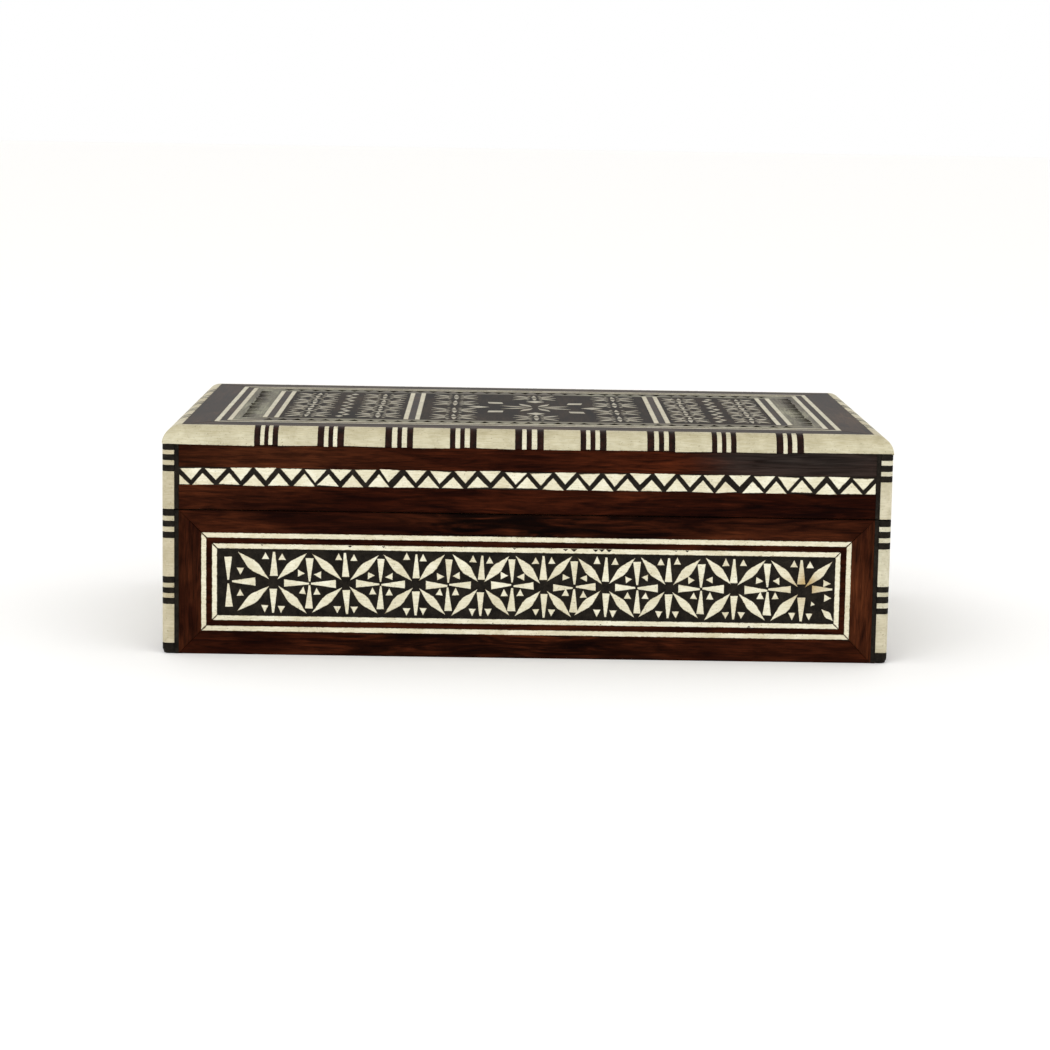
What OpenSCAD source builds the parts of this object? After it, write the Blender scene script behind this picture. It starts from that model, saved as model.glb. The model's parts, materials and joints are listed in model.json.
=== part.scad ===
// Inlaid wooden box with a hinged lid.
// Four mitred boards and a bottom make the base, four more and a top board make the lid.
// Every face is veneered and inlaid in bone and ebony, and banded sticks guard the edges.
// Origin: centre of the underside. The front faces -Y, the lid opens towards +Y.

/* [Overall] */
// Width of the closed box, left to right
box_w = 203; // [160:1:280]
// Depth of the closed box, front to back
box_d = 127; // [100:1:180]
// Height of the closed box
box_h = 64; // [53:1:90]
// Height of the lid, from its lower edge to its top
lid_h = 23.2; // [20:0.1:28]
// Parting gap between the base and the closed lid
seam = 0.3; // [0.2:0.05:0.6]

/* [Boards] */
// Thickness of the boards under the veneer
board_t = 5.8; // [5.2:0.1:8]
// Thickness of the bottom board
bottom_t = 4; // [3:0.5:6]
// Depth of the rebate in the walls that takes the bottom board
rebate = 3; // [1.5:0.5:4]
// Slack round the bottom board in its rebate
board_fit = 0.1; // [0.05:0.05:0.3]
// Open width of a mitre joint, taken off each piece
mitre_gap = 0.03; // [0.02:0.01:0.1]

/* [Veneer] */
// Thickness of the veneer and the inlay
veneer_t = 1.2; // [0.8:0.1:1.6]
// How far the corner posts and the edge moulding stand out from the veneer
proud = 0.4; // [0.2:0.1:0.8]
// Width of a bone line
line_w = 1.4; // [1:0.1:2]

/* [Base faces] */
// Width of the upright strips of the wooden frame
stile_w = 6.3; // [4:0.1:9]
// Width of the frame's top strip
top_rail_w = 6.2; // [5:0.1:9]
// Width of the frame's bottom strip
bottom_rail_w = 6.6; // [4:0.1:9]
// Width of the wooden fillet between the two bone lines
fillet_w = 1.6; // [1:0.1:2.5]
// Free ebony above and below the stars
star_edge = 0.65; // [0.3:0.05:1]

/* [Lid faces] */
// Height of the zigzag band
zig_h = 5; // [4:0.1:6]
// Height of a bone triangle in the zigzag band
zig_tri_h = 2.9; // [2:0.1:3.4]
// Rough distance between two triangles
zig_pitch = 6.85; // [5:0.05:9]
// Ebony left between two triangles of one row
zig_gap = 1.1; // [0.6:0.1:1.6]
// Width of the wood above the zigzag band
apron_top_w = 6.4; // [4:0.1:8]

/* [Banded sticks] */
// Radius of the quarter-round moulding on the lid's top edge
moulding_r = 5; // [4:0.1:6]
// Side of a square corner post
post_w = 3.4; // [2.8:0.1:4.5]
// Radius of a post's outer edge
post_round = 1.6; // [0.8:0.1:2.5]
// Width of the ebony line beside a post
edge_line_w = 1.2; // [0.8:0.1:2]
// Length of an ebony slice in the posts
post_black = 1.7; // [1.2:0.1:2.2]
// Length of a bone slice in the moulding and the posts
slice_white = 1.4; // [1:0.1:1.8]
// Rough length of a bone block in the posts
post_block = 10.8; // [8:0.1:14]
// Height of the ebony foot of the base posts
post_foot = 3; // [2:0.1:5]
// Length of an ebony slice in the moulding
moulding_black = 1.5; // [1.2:0.1:2.2]
// Length of a bone block in the moulding
moulding_block = 10.9; // [8:0.1:14]
// Rough length of the bone block at each mitred corner
moulding_corner = 24.5; // [18:0.5:30]

/* [Top] */
// Width of the plain wooden border
border_w = 8.2; // [6:0.1:12]
// Width of the dark line between a pair of bone lines
dark_w = 1.9; // [1.2:0.1:3]
// Width of the band of triangles
band_w = 7.8; // [6:0.1:10]
// Rough distance between two triangles of the band
band_pitch = 4.05; // [3:0.05:6]
// Width of the centre panel
centre_w = 67; // [50:1:90]
// How far the centre panel sits right of the middle
centre_shift = 2.6; // [0:0.1:5]

/* [Hinges] */
// Distance of each hinge from the middle
hinge_x = 58; // [40:1:70]
// Length of a hinge
leaf_len = 18; // [14:0.5:24]
// Length of the middle knuckle, which belongs to the lid
mid_knuckle = 7.4; // [5:0.2:10]
// Width of a leaf, from the pin to its inner edge
leaf_w = 5; // [4.6:0.1:5.2]
// Thickness of a leaf
leaf_t = 0.8; // [0.6:0.1:1]
// Outer radius of a knuckle
knuckle_r = 1.5; // [1.3:0.05:1.6]
// Radius of the pin
pin_r = 0.6; // [0.5:0.05:0.8]
// Running clearance between the pin and the lid's knuckle
pin_clear = 0.05; // [0.02:0.01:0.1]
// Distance of the pin's axis in from the back of the box
hinge_inset = 1.8; // [1.7:0.05:2.2]
// How far the lid opens, in degrees
lid_open = 105; // [95:1:110]

/* [Lining] */
// Thickness of the velvet lining on its card
lining_t = 0.9; // [0.6:0.1:1.5]
// How far the wall lining stops short of the rim
lining_drop = 0.6; // [0.3:0.1:2]

/* [Hidden] */
$fn = 48;
SIDES = ["front", "right", "back", "left"];
BACK = 2;
// Clearance of parts that pass each other as the lid moves
move_clear = 0.3;
// Overrun of a cutting tool past the surface that it cuts
over = 1;

// Heights
base_h = box_h - lid_h - seam;
lid_z = base_h + seam;
apron_top = box_h - moulding_r;
apron_h = apron_top - lid_z;
veneer_z = box_h - veneer_t;

// Hinge line
hinge_y = box_d / 2 - hinge_inset;
hinge_z = base_h + seam / 2;
// The bevels behind the hinge line meet just past the open limit
bevel_spare = 2;
bevel = (lid_open + bevel_spare) / 2;
mortise_fit = 0.05;
screw_head_r = 1.1;
screw_sink = 0.6;
screw_r = 0.55;
screw_len = 5;
screw_slot = [0.3, 0.25];
screw_x = leaf_len / 3;
screw_y = (leaf_w + knuckle_r + move_clear) / 2;

// Proportions of the star row, for a row that is STAR_H high. A petal is
// [start, end, width], a wedge [start, end, width at start, width at end].
STAR_H = 17.6;
STAR_PITCH = 18.42;
// Least bare field at the two ends together, and the left end's share of it
STAR_MARGINS = 22;
STAR_LEFT_SHARE = 0.63;
// The stars are set out by eye: wide at the left end and closer further on. Each
// step of the row adds this much to the sway of half a wave and of a whole wave.
STAR_SWAY = [0.2, 0.19];
// A petal is [start, width, height of its tip]. Its tip stops short of the middle
// between two stars by TIP_FREE, and a level wedge by WEDGE_FREE.
PETAL = [1.4, 2.6, 8.5];
PETAL_BELLY = [0.38, 0.58];
TIP_FREE = 0.7;
WEDGE_FREE = 0.2;
UPRIGHT = [1.8, 8.6, 2.2, 0.6];
LEVEL = [2.9, 2.3, 0.5];
CROSS = [0.6, 7.2, 0.5, 2.2];
CHIP = [2.1, 2.1];
CHIP_AT = [1.2, 2.5];
LOW_CHIP_AT = [2.2, 2.95];
PAIR_AT = [2.3, 6.5];
// The left end: how far its cross stands from the first star, where the first
// petals' room ends, and where its level wedge and its chips lie
END_CROSS = 12.7;
END_ROOM = 10.6;
END_WEDGE = [5.1, 11.7];
END_CHIP_AT = [3.4, 4];
// The right end: its chips' base, from the end of the field
LAST_CHIP_AT = [3, 2.15];

// ---- Sides and rectangles ----

function side_len(s) = s % 2 == 0 ? box_w : box_d;
function side_out(s) = (s % 2 == 0 ? box_d : box_w) / 2;

// A rectangle is [left, bottom, right, top]
function inset(r, x, y) = [r[0] + x, r[1] + y, r[2] - x, r[3] - y];
function size_x(r) = r[2] - r[0];
function size_y(r) = r[3] - r[1];

module fill(r) {
    translate([r[0], r[1]]) square([size_x(r), size_y(r)]);
}

// Four mitred strips between an outer and an inner rectangle
module mitred(o, i) {
    g = mitre_gap;
    polygon([[o[0] + g, o[1]], [o[2] - g, o[1]], [i[2] - g, i[1]], [i[0] + g, i[1]]]);
    polygon([[o[0] + g, o[3]], [o[2] - g, o[3]], [i[2] - g, i[3]], [i[0] + g, i[3]]]);
    polygon([[o[0], o[1] + g], [o[0], o[3] - g], [i[0], i[3] - g], [i[0], i[1] + g]]);
    polygon([[o[2], o[1] + g], [o[2], o[3] - g], [i[2], i[3] - g], [i[2], i[1] + g]]);
}

// Turns a piece drawn for the front round to side s
module at_side(s) {
    rotate([0, 0, 90 * s]) children();
}

// A flat outline, drawn along and up the face, as veneer on side s
module veneer(s) {
    at_side(s)
        translate([0, -(side_out(s) - proud - veneer_t), 0])
            rotate([90, 0, 0])
                linear_extrude(veneer_t) children();
}

// A flat outline as veneer on the top of the lid
module top_veneer() {
    translate([0, 0, veneer_z]) linear_extrude(veneer_t) children();
}

// ---- Base face rectangles, from the posts inwards ----

face_in = post_w + edge_line_w;
function frame_out(s) = [-side_len(s) / 2 + face_in, 0, side_len(s) / 2 - face_in, base_h];
function line_out(s) =
    let (r = frame_out(s))
    [r[0] + stile_w, r[1] + bottom_rail_w, r[2] - stile_w, r[3] - top_rail_w];
function fillet_out(s) = inset(line_out(s), line_w, line_w);
function line_in(s) = inset(fillet_out(s), fillet_w, fillet_w);
function field(s) = inset(line_in(s), line_w, line_w);

// ---- Boards ----

board_out = proud + veneer_t;
cavity = [box_w / 2 - board_out - board_t, box_d / 2 - board_out - board_t];

module post_notches(w) {
    for (x = [-1, 1], y = [-1, 1])
        translate([x * (box_w - w) / 2, y * (box_d - w) / 2]) square(w, center = true);
}

module wall_plan(s) {
    out = side_out(s) - board_out;
    half = side_len(s) / 2 - board_out;
    difference() {
        at_side(s)
            polygon([
                [-half + mitre_gap, -out],
                [half - mitre_gap, -out],
                [half - board_t - mitre_gap, -out + board_t],
                [-half + board_t + mitre_gap, -out + board_t]
            ]);
        post_notches(post_w);
    }
}

module bottom_outline(slack) {
    square([cavity.x + rebate - slack, cavity.y + rebate - slack] * 2, center = true);
}

module bottom_board() {
    color("burlywood") linear_extrude(bottom_t) bottom_outline(board_fit);
}

module base_wall(s) {
    color("peru") difference() {
        linear_extrude(base_h) wall_plan(s);
        translate([0, 0, -over]) linear_extrude(bottom_t + over) bottom_outline(0);
        if (s == BACK) base_hinge_cuts();
    }
}

module lid_wall(s) {
    color("peru") difference() {
        translate([0, 0, lid_z]) linear_extrude(apron_h) wall_plan(s);
        if (s == BACK) lid_hinge_cuts();
    }
}

module lid_top_board() {
    color("burlywood") translate([0, 0, apron_top])
        linear_extrude(moulding_r - veneer_t)
            square([box_w - 2 * moulding_r, box_d - 2 * moulding_r], center = true);
}

// ---- Hinges ----

module at_hinges() {
    for (x = [-hinge_x, hinge_x]) translate([x, hinge_y, hinge_z]) children();
}

// Flips a hinge piece drawn for the base over to the lid
module to_lid() {
    mirror([0, 0, 1]) children();
}

// The wedge that is planed off behind the hinge line, below the level z = 0
module bevel_wedge() {
    run = hinge_inset + over;
    translate([-box_w / 2 - over, 0, 0])
        rotate([90, 0, 90])
            linear_extrude(box_w + 2 * over)
                polygon([[0, 0], [run, -run * tan(bevel)], [run, over], [0, over]]);
}

module knuckle_relief() {
    rotate([0, 90, 0])
        cylinder(r = knuckle_r + move_clear, h = leaf_len + 2 * move_clear, center = true);
}

module leaf_mortise() {
    translate([0, -leaf_w / 2, -(seam + leaf_t) / 2])
        cube([leaf_len + 2 * mortise_fit, leaf_w + 2 * mortise_fit, leaf_t], center = true);
}

module at_screws() {
    for (x = [-screw_x, screw_x]) translate([x, -screw_y, -seam / 2]) children();
}

module screw_hole() {
    translate([0, 0, -screw_sink]) cylinder(r1 = screw_r, r2 = screw_head_r, h = screw_sink);
    translate([0, 0, -screw_len]) cylinder(r = screw_r, h = screw_len);
}

module hinge_cuts() {
    knuckle_relief();
    leaf_mortise();
    at_screws() screw_hole();
}

module base_bevel_cut() {
    translate([0, hinge_y, base_h]) bevel_wedge();
}

module lid_bevel_cut() {
    translate([0, hinge_y, lid_z]) to_lid() bevel_wedge();
}

module base_hinge_cuts() {
    base_bevel_cut();
    at_hinges() hinge_cuts();
}

module lid_hinge_cuts() {
    lid_bevel_cut();
    at_hinges() to_lid() hinge_cuts();
}

// A leaf with knuckles over the given spans along the pin
module leaf(spans, bore) {
    edge = knuckle_r + move_clear;
    plate_z = -seam / 2 - leaf_t;
    difference() {
        union() {
            translate([-leaf_len / 2, -leaf_w, plate_z]) cube([leaf_len, leaf_w - edge, leaf_t]);
            for (k = spans) {
                translate([k[0], -edge, plate_z]) cube([k[1] - k[0], edge, leaf_t]);
                translate([k[0], 0, 0]) rotate([0, 90, 0]) cylinder(r = knuckle_r, h = k[1] - k[0]);
            }
        }
        rotate([0, 90, 0]) cylinder(r = bore, h = leaf_len + 2 * over, center = true);
        at_screws() screw_hole();
    }
}

outer_from = mid_knuckle / 2 + move_clear;

module base_hinge_leaves() {
    color("goldenrod") at_hinges()
        leaf([[-leaf_len / 2, -outer_from], [outer_from, leaf_len / 2]], pin_r);
}

module lid_hinge_leaves() {
    color("goldenrod") at_hinges() to_lid()
        leaf([[-mid_knuckle / 2, mid_knuckle / 2]], pin_r + pin_clear);
}

module hinge_pins() {
    color("darkgoldenrod") at_hinges()
        rotate([0, 90, 0]) cylinder(r = pin_r, h = leaf_len, center = true);
}

module screw() {
    difference() {
        screw_hole();
        translate([0, 0, -screw_slot.y / 2])
            cube([2 * screw_head_r + over, screw_slot.x, screw_slot.y], center = true);
    }
}

module base_hinge_screws() {
    color("darkgoldenrod") at_hinges() at_screws() screw();
}

module lid_hinge_screws() {
    color("darkgoldenrod") at_hinges() to_lid() at_screws() screw();
}

// ---- Base faces ----

module base_frame(s) {
    color([0.27, 0.12, 0.08]) difference() {
        veneer(s) mitred(frame_out(s), line_out(s));
        if (s == BACK) {
            base_bevel_cut();
            at_hinges() knuckle_relief();
        }
    }
}

module base_stringing(s) {
    color("ivory") veneer(s) {
        mitred(line_out(s), fillet_out(s));
        mitred(line_in(s), field(s));
    }
}

module base_fillets() {
    color([0.3, 0.1, 0.07])
        for (s = [0:3]) veneer(s) mitred(fillet_out(s), line_in(s));
}

module wedge(from, to, w_from, w_to, k) {
    polygon(k * [[from, -w_from / 2], [to, -w_to / 2], [to, w_to / 2], [from, w_from / 2]]);
}

// A petal from the star's middle towards [x, y]
module petal(k, x, y) {
    end = norm([x, y]);
    from = k * PETAL[0];
    half = k * PETAL[1] / 2;
    a = from + (end - from) * PETAL_BELLY[0];
    b = from + (end - from) * PETAL_BELLY[1];
    rotate(atan2(y, x))
        polygon([[from, 0], [a, -half], [b, -half], [end, 0], [b, half], [a, half]]);
}

// A small triangle that points up from its base at the origin
module chip(k) {
    polygon(k * [[-CHIP[0] / 2, 0], [CHIP[0] / 2, 0], [0, CHIP[1]]]);
}

// The part of a star to the right of its middle: two petals that share the room
// to the next star, and a level wedge
module star_half(k, room, from, to) {
    for (y = [-1, 1]) petal(k, room - k * TIP_FREE, y * k * PETAL[2]);
    wedge(from, to, k * LEVEL[1], k * LEVEL[2], 1);
}

module star_middle(k) {
    for (a = [90, 270]) rotate(a) wedge(UPRIGHT[0], UPRIGHT[1], UPRIGHT[2], UPRIGHT[3], k);
    for (x = [-1, 1], m = [0, 1])
        mirror([0, m]) translate(k * [x * PAIR_AT[0], PAIR_AT[1]]) chip(k);
}

// The two chips to the right of a cross. The upper one points at its upright and
// the lower one points up.
module chip_pair(k) {
    translate(k * [CHIP_AT.x + CHIP[1], CHIP_AT.y]) rotate(90) chip(k);
    translate(k * [LOW_CHIP_AT.x, -LOW_CHIP_AT.y]) chip(k);
}

module cross(k) {
    for (a = [90, 270]) rotate(a) wedge(CROSS[0], CROSS[1], CROSS[2], CROSS[3], k);
}

function star_k(s) = (size_y(field(s)) - 2 * star_edge) / STAR_H;
function star_steps(s) =
    floor((size_x(field(s)) - STAR_MARGINS * star_k(s)) / (STAR_PITCH * star_k(s)));
function first_star(s) =
    field(s)[0]
    + (size_x(field(s)) - star_steps(s) * STAR_PITCH * star_k(s)) * STAR_LEFT_SHARE;
function star_x(s, i) =
    let (n = star_steps(s), t = i / max(n, 1))
    first_star(s)
    + star_k(s) * (i * STAR_PITCH + n * (STAR_SWAY[0] * sin(180 * t) + STAR_SWAY[1] * sin(360 * t)));

module star_row(s) {
    k = star_k(s);
    n = star_steps(s);
    mid = (field(s)[1] + field(s)[3]) / 2;
    translate([0, mid]) {
        for (i = [0:n]) translate([star_x(s, i), 0]) star_middle(k);
        for (i = [0:1:n - 1]) {
            room = (star_x(s, i + 1) - star_x(s, i)) / 2;
            for (m = [0, 1]) translate([star_x(s, i + m), 0]) mirror([m, 0])
                star_half(k, room, k * LEVEL[0], room - k * WEDGE_FREE);
            translate([star_x(s, i) + room, 0]) {
                cross(k);
                for (m = [0, 1]) mirror([m, 0]) chip_pair(k);
            }
        }
        translate([star_x(s, 0), 0]) mirror([1, 0])
            star_half(k, k * END_ROOM, k * END_WEDGE[0], k * END_WEDGE[1]);
        translate([star_x(s, 0) - k * END_CROSS, 0]) {
            cross(k);
            translate(k * END_CHIP_AT) rotate(180) chip(k);
            translate(k * [END_CHIP_AT.x, -END_CHIP_AT.y]) chip(k);
        }
        end = field(s)[2] - star_x(s, n);
        translate([star_x(s, n), 0]) {
            star_half(k, end, k * LEVEL[0], end - k * TIP_FREE);
            for (y = [-1, 1])
                translate([end - k * LAST_CHIP_AT.x, y * k * LAST_CHIP_AT.y]) rotate(-90) chip(k);
        }
    }
}

module base_field(s) {
    color([0.1, 0.09, 0.08]) veneer(s) difference() {
        fill(field(s));
        star_row(s);
    }
}

module base_stars(s) {
    color("ivory") veneer(s) star_row(s);
}

// ---- Banded sticks ----
// A span is [start, end] along the stick.

function group_len(black) = 3 * black + 2 * slice_white;
function black_spans(at, black) =
    [for (i = [0:2]) [at + i * (black + slice_white), at + i * (black + slice_white) + black]];
function white_spans(at, black) =
    [for (i = [0:1]) [at + i * (black + slice_white) + black, at + (i + 1) * (black + slice_white)]];

// Posts, measured down from the top; foot is the length of the solid ebony end
function post_groups(h, foot) =
    max(1, round((h - foot) / (group_len(post_black) + post_block)));
function post_step(h, foot) = (h - foot) / post_groups(h, foot);
function post_ebony(h, foot) = [
    for (i = [0:post_groups(h, foot) - 1]) each black_spans(i * post_step(h, foot), post_black),
    if (foot > 0) [h - foot, h]
];
function post_bone(h, foot) = [
    for (i = [0:post_groups(h, foot) - 1])
        each concat(
            white_spans(i * post_step(h, foot), post_black),
            [[i * post_step(h, foot) + group_len(post_black), (i + 1) * post_step(h, foot)]]
        )
];

module post_plans() {
    corner = post_w - post_round;
    for (x = [0, 1], y = [0, 1])
        mirror([x, 0]) mirror([0, y])
            translate([box_w / 2 - post_w, box_d / 2 - post_w]) difference() {
                square(post_w);
                difference() {
                    translate([corner, corner]) square(post_round + over);
                    translate([corner, corner]) circle(post_round);
                }
            }
}

module posts(top, spans) {
    for (p = spans) translate([0, 0, top - p[1]]) linear_extrude(p[1] - p[0]) post_plans();
}

module base_post_bone() {
    color("ivory") difference() {
        posts(base_h, post_bone(base_h, post_foot));
        base_bevel_cut();
    }
}

module base_post_ebony() {
    color([0.1, 0.08, 0.08]) difference() {
        posts(base_h, post_ebony(base_h, post_foot));
        base_bevel_cut();
    }
}

module lid_post_bone() {
    color("ivory") difference() {
        posts(apron_top, post_bone(apron_h, 0));
        lid_bevel_cut();
    }
}

module lid_post_ebony() {
    color([0.1, 0.08, 0.08]) difference() {
        posts(apron_top, post_ebony(apron_h, 0));
        lid_bevel_cut();
    }
}

// The ebony lines beside the posts, from z to z + h
module edge_lines(z, h) {
    for (s = [0:3], m = [0, 1])
        veneer(s) mirror([m, 0])
            translate([side_len(s) / 2 - face_in, z]) square([edge_line_w, h]);
}

module base_edge_lines() {
    color([0.1, 0.08, 0.08]) difference() {
        edge_lines(0, base_h);
        base_bevel_cut();
    }
}

module lid_edge_lines() {
    color([0.1, 0.08, 0.08]) difference() {
        edge_lines(lid_z, apron_h);
        lid_bevel_cut();
    }
}

// Moulding, measured along a side from its left end
moulding_step = group_len(moulding_black) + moulding_block;
function moulding_groups(len) =
    round((len + moulding_block - 2 * moulding_corner) / moulding_step);
function corner_len(len) = (len - moulding_groups(len) * moulding_step + moulding_block) / 2;
function group_at(len, i) = corner_len(len) + i * moulding_step;
function moulding_ebony_spans(len) =
    [for (i = [0:moulding_groups(len) - 1]) each black_spans(group_at(len, i), moulding_black)];
function moulding_bone_spans(len) = concat(
    [[0, corner_len(len)], [len - corner_len(len), len]],
    [for (i = [0:moulding_groups(len) - 1]) each white_spans(group_at(len, i), moulding_black)],
    [
        for (i = [1:moulding_groups(len) - 1])
            [group_at(len, i) - moulding_block, group_at(len, i)]
    ]
);

// A quarter round along the front's top edge, from x = span[0] to span[1]
module quarter_round(span) {
    translate([span[0], 0, 0]) rotate([90, 0, 90]) linear_extrude(span[1] - span[0])
        intersection() {
            circle(moulding_r);
            translate([-moulding_r, 0]) square(moulding_r);
        }
}

module moulding(s, spans) {
    half = side_len(s) / 2;
    out = side_out(s);
    at_side(s) intersection() {
        translate([-half, -out + moulding_r, apron_top]) for (p = spans) quarter_round(p);
        translate([0, 0, apron_top]) linear_extrude(moulding_r)
            polygon([
                [-half + mitre_gap, -out],
                [half - mitre_gap, -out],
                [half - moulding_r - mitre_gap, -out + moulding_r],
                [-half + moulding_r + mitre_gap, -out + moulding_r]
            ]);
    }
}

module moulding_bone() {
    color("ivory") for (s = [0:3]) moulding(s, moulding_bone_spans(side_len(s)));
}

module moulding_ebony() {
    color([0.1, 0.08, 0.08]) for (s = [0:3]) moulding(s, moulding_ebony_spans(side_len(s)));
}

// ---- Lid faces ----

function apron(s) = [-side_len(s) / 2 + face_in, lid_z, side_len(s) / 2 - face_in, apron_top];
function zig_band(s) =
    let (r = apron(s))
    [r[0], r[3] - apron_top_w - zig_h, r[2], r[3] - apron_top_w];
function zig_count(s) = round(size_x(apron(s)) / zig_pitch);
function zig_step(s) = size_x(apron(s)) / zig_count(s);

module lid_apron(s) {
    z = zig_band(s);
    r = apron(s);
    color([0.27, 0.1, 0.08]) difference() {
        veneer(s) {
            fill([r[0], z[3], r[2], r[3]]);
            fill([r[0], r[1], r[2], z[1]]);
        }
        if (s == BACK) {
            lid_bevel_cut();
            at_hinges() knuckle_relief();
        }
    }
}

module zig_triangles(s) {
    z = zig_band(s);
    half = (zig_step(s) - zig_gap) / 2;
    n = zig_count(s);
    translate([z[0], z[1]]) {
        for (i = [1:n - 1]) translate([i * zig_step(s), 0])
            polygon([[-half, 0], [half, 0], [0, zig_tri_h]]);
        for (i = [0:n - 1]) translate([(i + 0.5) * zig_step(s), zig_h])
            polygon([[-half, 0], [half, 0], [0, -zig_tri_h]]);
        polygon([[0, 0], [half, 0], [0, zig_tri_h]]);
        translate([size_x(z), 0]) polygon([[0, 0], [-half, 0], [0, zig_tri_h]]);
    }
}

module lid_zigzag_ebony() {
    color([0.1, 0.09, 0.08]) for (s = [0:3]) veneer(s) difference() {
        fill(zig_band(s));
        zig_triangles(s);
    }
}

module lid_zigzag_bone() {
    color("ivory") for (s = [0:3]) veneer(s) zig_triangles(s);
}

// ---- Top ----

top_half = [box_w / 2 - moulding_r, box_d / 2 - moulding_r];
T_BORDER = [-top_half.x, -top_half.y, top_half.x, top_half.y];
T_LINE_A = inset(T_BORDER, border_w, border_w);
T_DARK = inset(T_LINE_A, line_w, line_w);
T_LINE_B = inset(T_DARK, dark_w, dark_w);
T_BAND = inset(T_LINE_B, line_w, line_w);
T_PANELS = inset(T_BAND, band_w, band_w);
pair_w = 2 * line_w + dark_w;
// Left edges of the four pairs of lines that part the panels
PAIRS = [
    T_PANELS[0],
    centre_shift - centre_w / 2 - pair_w,
    centre_shift + centre_w / 2,
    T_PANELS[2] - pair_w
];
BAND_TRIANGLE = [3.2, 4.2];

module upright_line(x, w) {
    fill([x, T_PANELS[1], x + w, T_PANELS[3]]);
}

module top_border() {
    color([0.27, 0.12, 0.08]) top_veneer() mitred(T_BORDER, T_LINE_A);
}

module top_lines() {
    color("ivory") top_veneer() {
        mitred(T_LINE_A, T_DARK);
        mitred(T_LINE_B, T_BAND);
        for (x = PAIRS, d = [0, line_w + dark_w]) upright_line(x + d, line_w);
    }
}

module top_dark_lines() {
    color([0.1, 0.08, 0.08]) top_veneer() {
        mitred(T_DARK, T_LINE_B);
        for (x = PAIRS) upright_line(x + line_w, dark_w);
    }
}

// Dark triangles in a straight run of the band, pointing at the middle of the lid
module triangle_run(s) {
    len = s % 2 == 0 ? size_x(T_BAND) : size_y(T_BAND);
    out = s % 2 == 0 ? T_BAND[3] : T_BAND[2];
    n = round((len - 2 * band_w) / band_pitch);
    step = (len - 2 * band_w) / n;
    inner = (band_w - BAND_TRIANGLE[1]) / 2;
    at_side(s) for (i = [0:n - 1])
        translate([-len / 2 + band_w + (i + 0.5) * step, -out + inner])
            polygon([[-BAND_TRIANGLE[0] / 2, 0], [BAND_TRIANGLE[0] / 2, 0], [0, BAND_TRIANGLE[1]]]);
}

module band_triangles() {
    for (s = [0:3]) triangle_run(s);
}

module top_band() {
    color("wheat") top_veneer() difference() {
        mitred(T_BAND, T_PANELS);
        band_triangles();
    }
}

module top_band_triangles() {
    color([0.1, 0.08, 0.08]) top_veneer() band_triangles();
}

function panel(i) = [PAIRS[i] + pair_w, T_PANELS[1], PAIRS[i + 1], T_PANELS[3]];
LOZENGE = [2.6, 4.4];
LOZENGE_STEP = 4.8;
LOZENGE_SWAY = 0.7;
LOZENGE_ROOM = 0.6;
// Small stars: their size, the step from row to row, their room in the centre
// panel, and how far their middles stay from its edges
TILE_K = 0.78;
TILE_STEP = 18;
TILE_ROOM = 7.4;
TILE_EDGE = 9.5;
TILE_FREE = 0.3;
// The chips on each side of a lozenge between two rows
TILE_CHIP_AT = 3.1;
ROSETTE = [0.95, 11.8];
KITE = [13.5, 20.5, 5.6];

module tile(room) {
    for (m = [0, 1]) mirror([m, 0])
        star_half(TILE_K, room, TILE_K * LEVEL[0], room - TILE_K * TIP_FREE);
    star_middle(TILE_K);
}

module lozenge() {
    polygon([
        [-LOZENGE[0] / 2, 0], [0, -LOZENGE[1] / 2],
        [LOZENGE[0] / 2, 0], [0, LOZENGE[1] / 2]
    ]);
}

// A zigzag column of lozenges with a column of small stars on each side
module side_mosaic(i) {
    r = panel(i);
    n = floor(size_y(r) / LOZENGE_STEP) - 1;
    m = floor(size_y(r) / TILE_STEP);
    inner = LOZENGE[0] / 2 + LOZENGE_SWAY + LOZENGE_ROOM;
    at = (size_x(r) / 2 + inner) / 2;
    room = (size_x(r) / 2 - inner) / 2 - TILE_FREE;
    translate([(r[0] + r[2]) / 2, 0]) {
        for (j = [0:1:n - 1])
            translate([(j % 2 - 0.5) * 2 * LOZENGE_SWAY, (j - (n - 1) / 2) * LOZENGE_STEP])
                lozenge();
        for (x = [-at, at]) {
            for (j = [0:1:m - 1]) translate([x, (j - (m - 1) / 2) * TILE_STEP]) tile(room);
            for (j = [1:1:m - 1]) translate([x, (j - m / 2) * TILE_STEP]) {
                rotate(90) lozenge();
                for (w = [0, 1]) mirror([w, 0])
                    translate([TILE_CHIP_AT + CHIP[1], 0]) rotate(90) chip(1);
            }
        }
    }
}

// The rows of small stars from the panel's edge down to the least distance from its middle
function tile_rows(half, least) = [for (y = half - TILE_EDGE; y > least; y = y - TILE_STEP) y];

// Eight petals with eight kites round them, and rows of small stars at the sides
module medallion() {
    half = size_y(panel(1)) / 2;
    translate([centre_shift, 0]) {
        for (a = [0:45:315]) rotate(a + 22.5) petal(ROSETTE[0], ROSETTE[1], 0);
        for (a = [0:45:315]) rotate(a)
            polygon([
                [KITE[0], 0], [(KITE[0] + KITE[1]) / 2, -KITE[2] / 2],
                [KITE[1], 0], [(KITE[0] + KITE[1]) / 2, KITE[2] / 2]
            ]);
        for (x = [-1, 1], w = [-1, 1], y = tile_rows(half, TILE_EDGE))
            translate([x * (centre_w / 2 - TILE_EDGE), w * y]) tile(TILE_ROOM);
        for (w = [-1, 1], y = tile_rows(half, KITE[1] + TILE_ROOM))
            translate([0, w * y]) tile(TILE_ROOM);
    }
}

module top_panels() {
    color([0.2, 0.12, 0.09]) top_veneer() difference() {
        for (i = [0:2]) fill(panel(i));
        side_mosaic(0);
        side_mosaic(2);
        medallion();
    }
}

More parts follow.
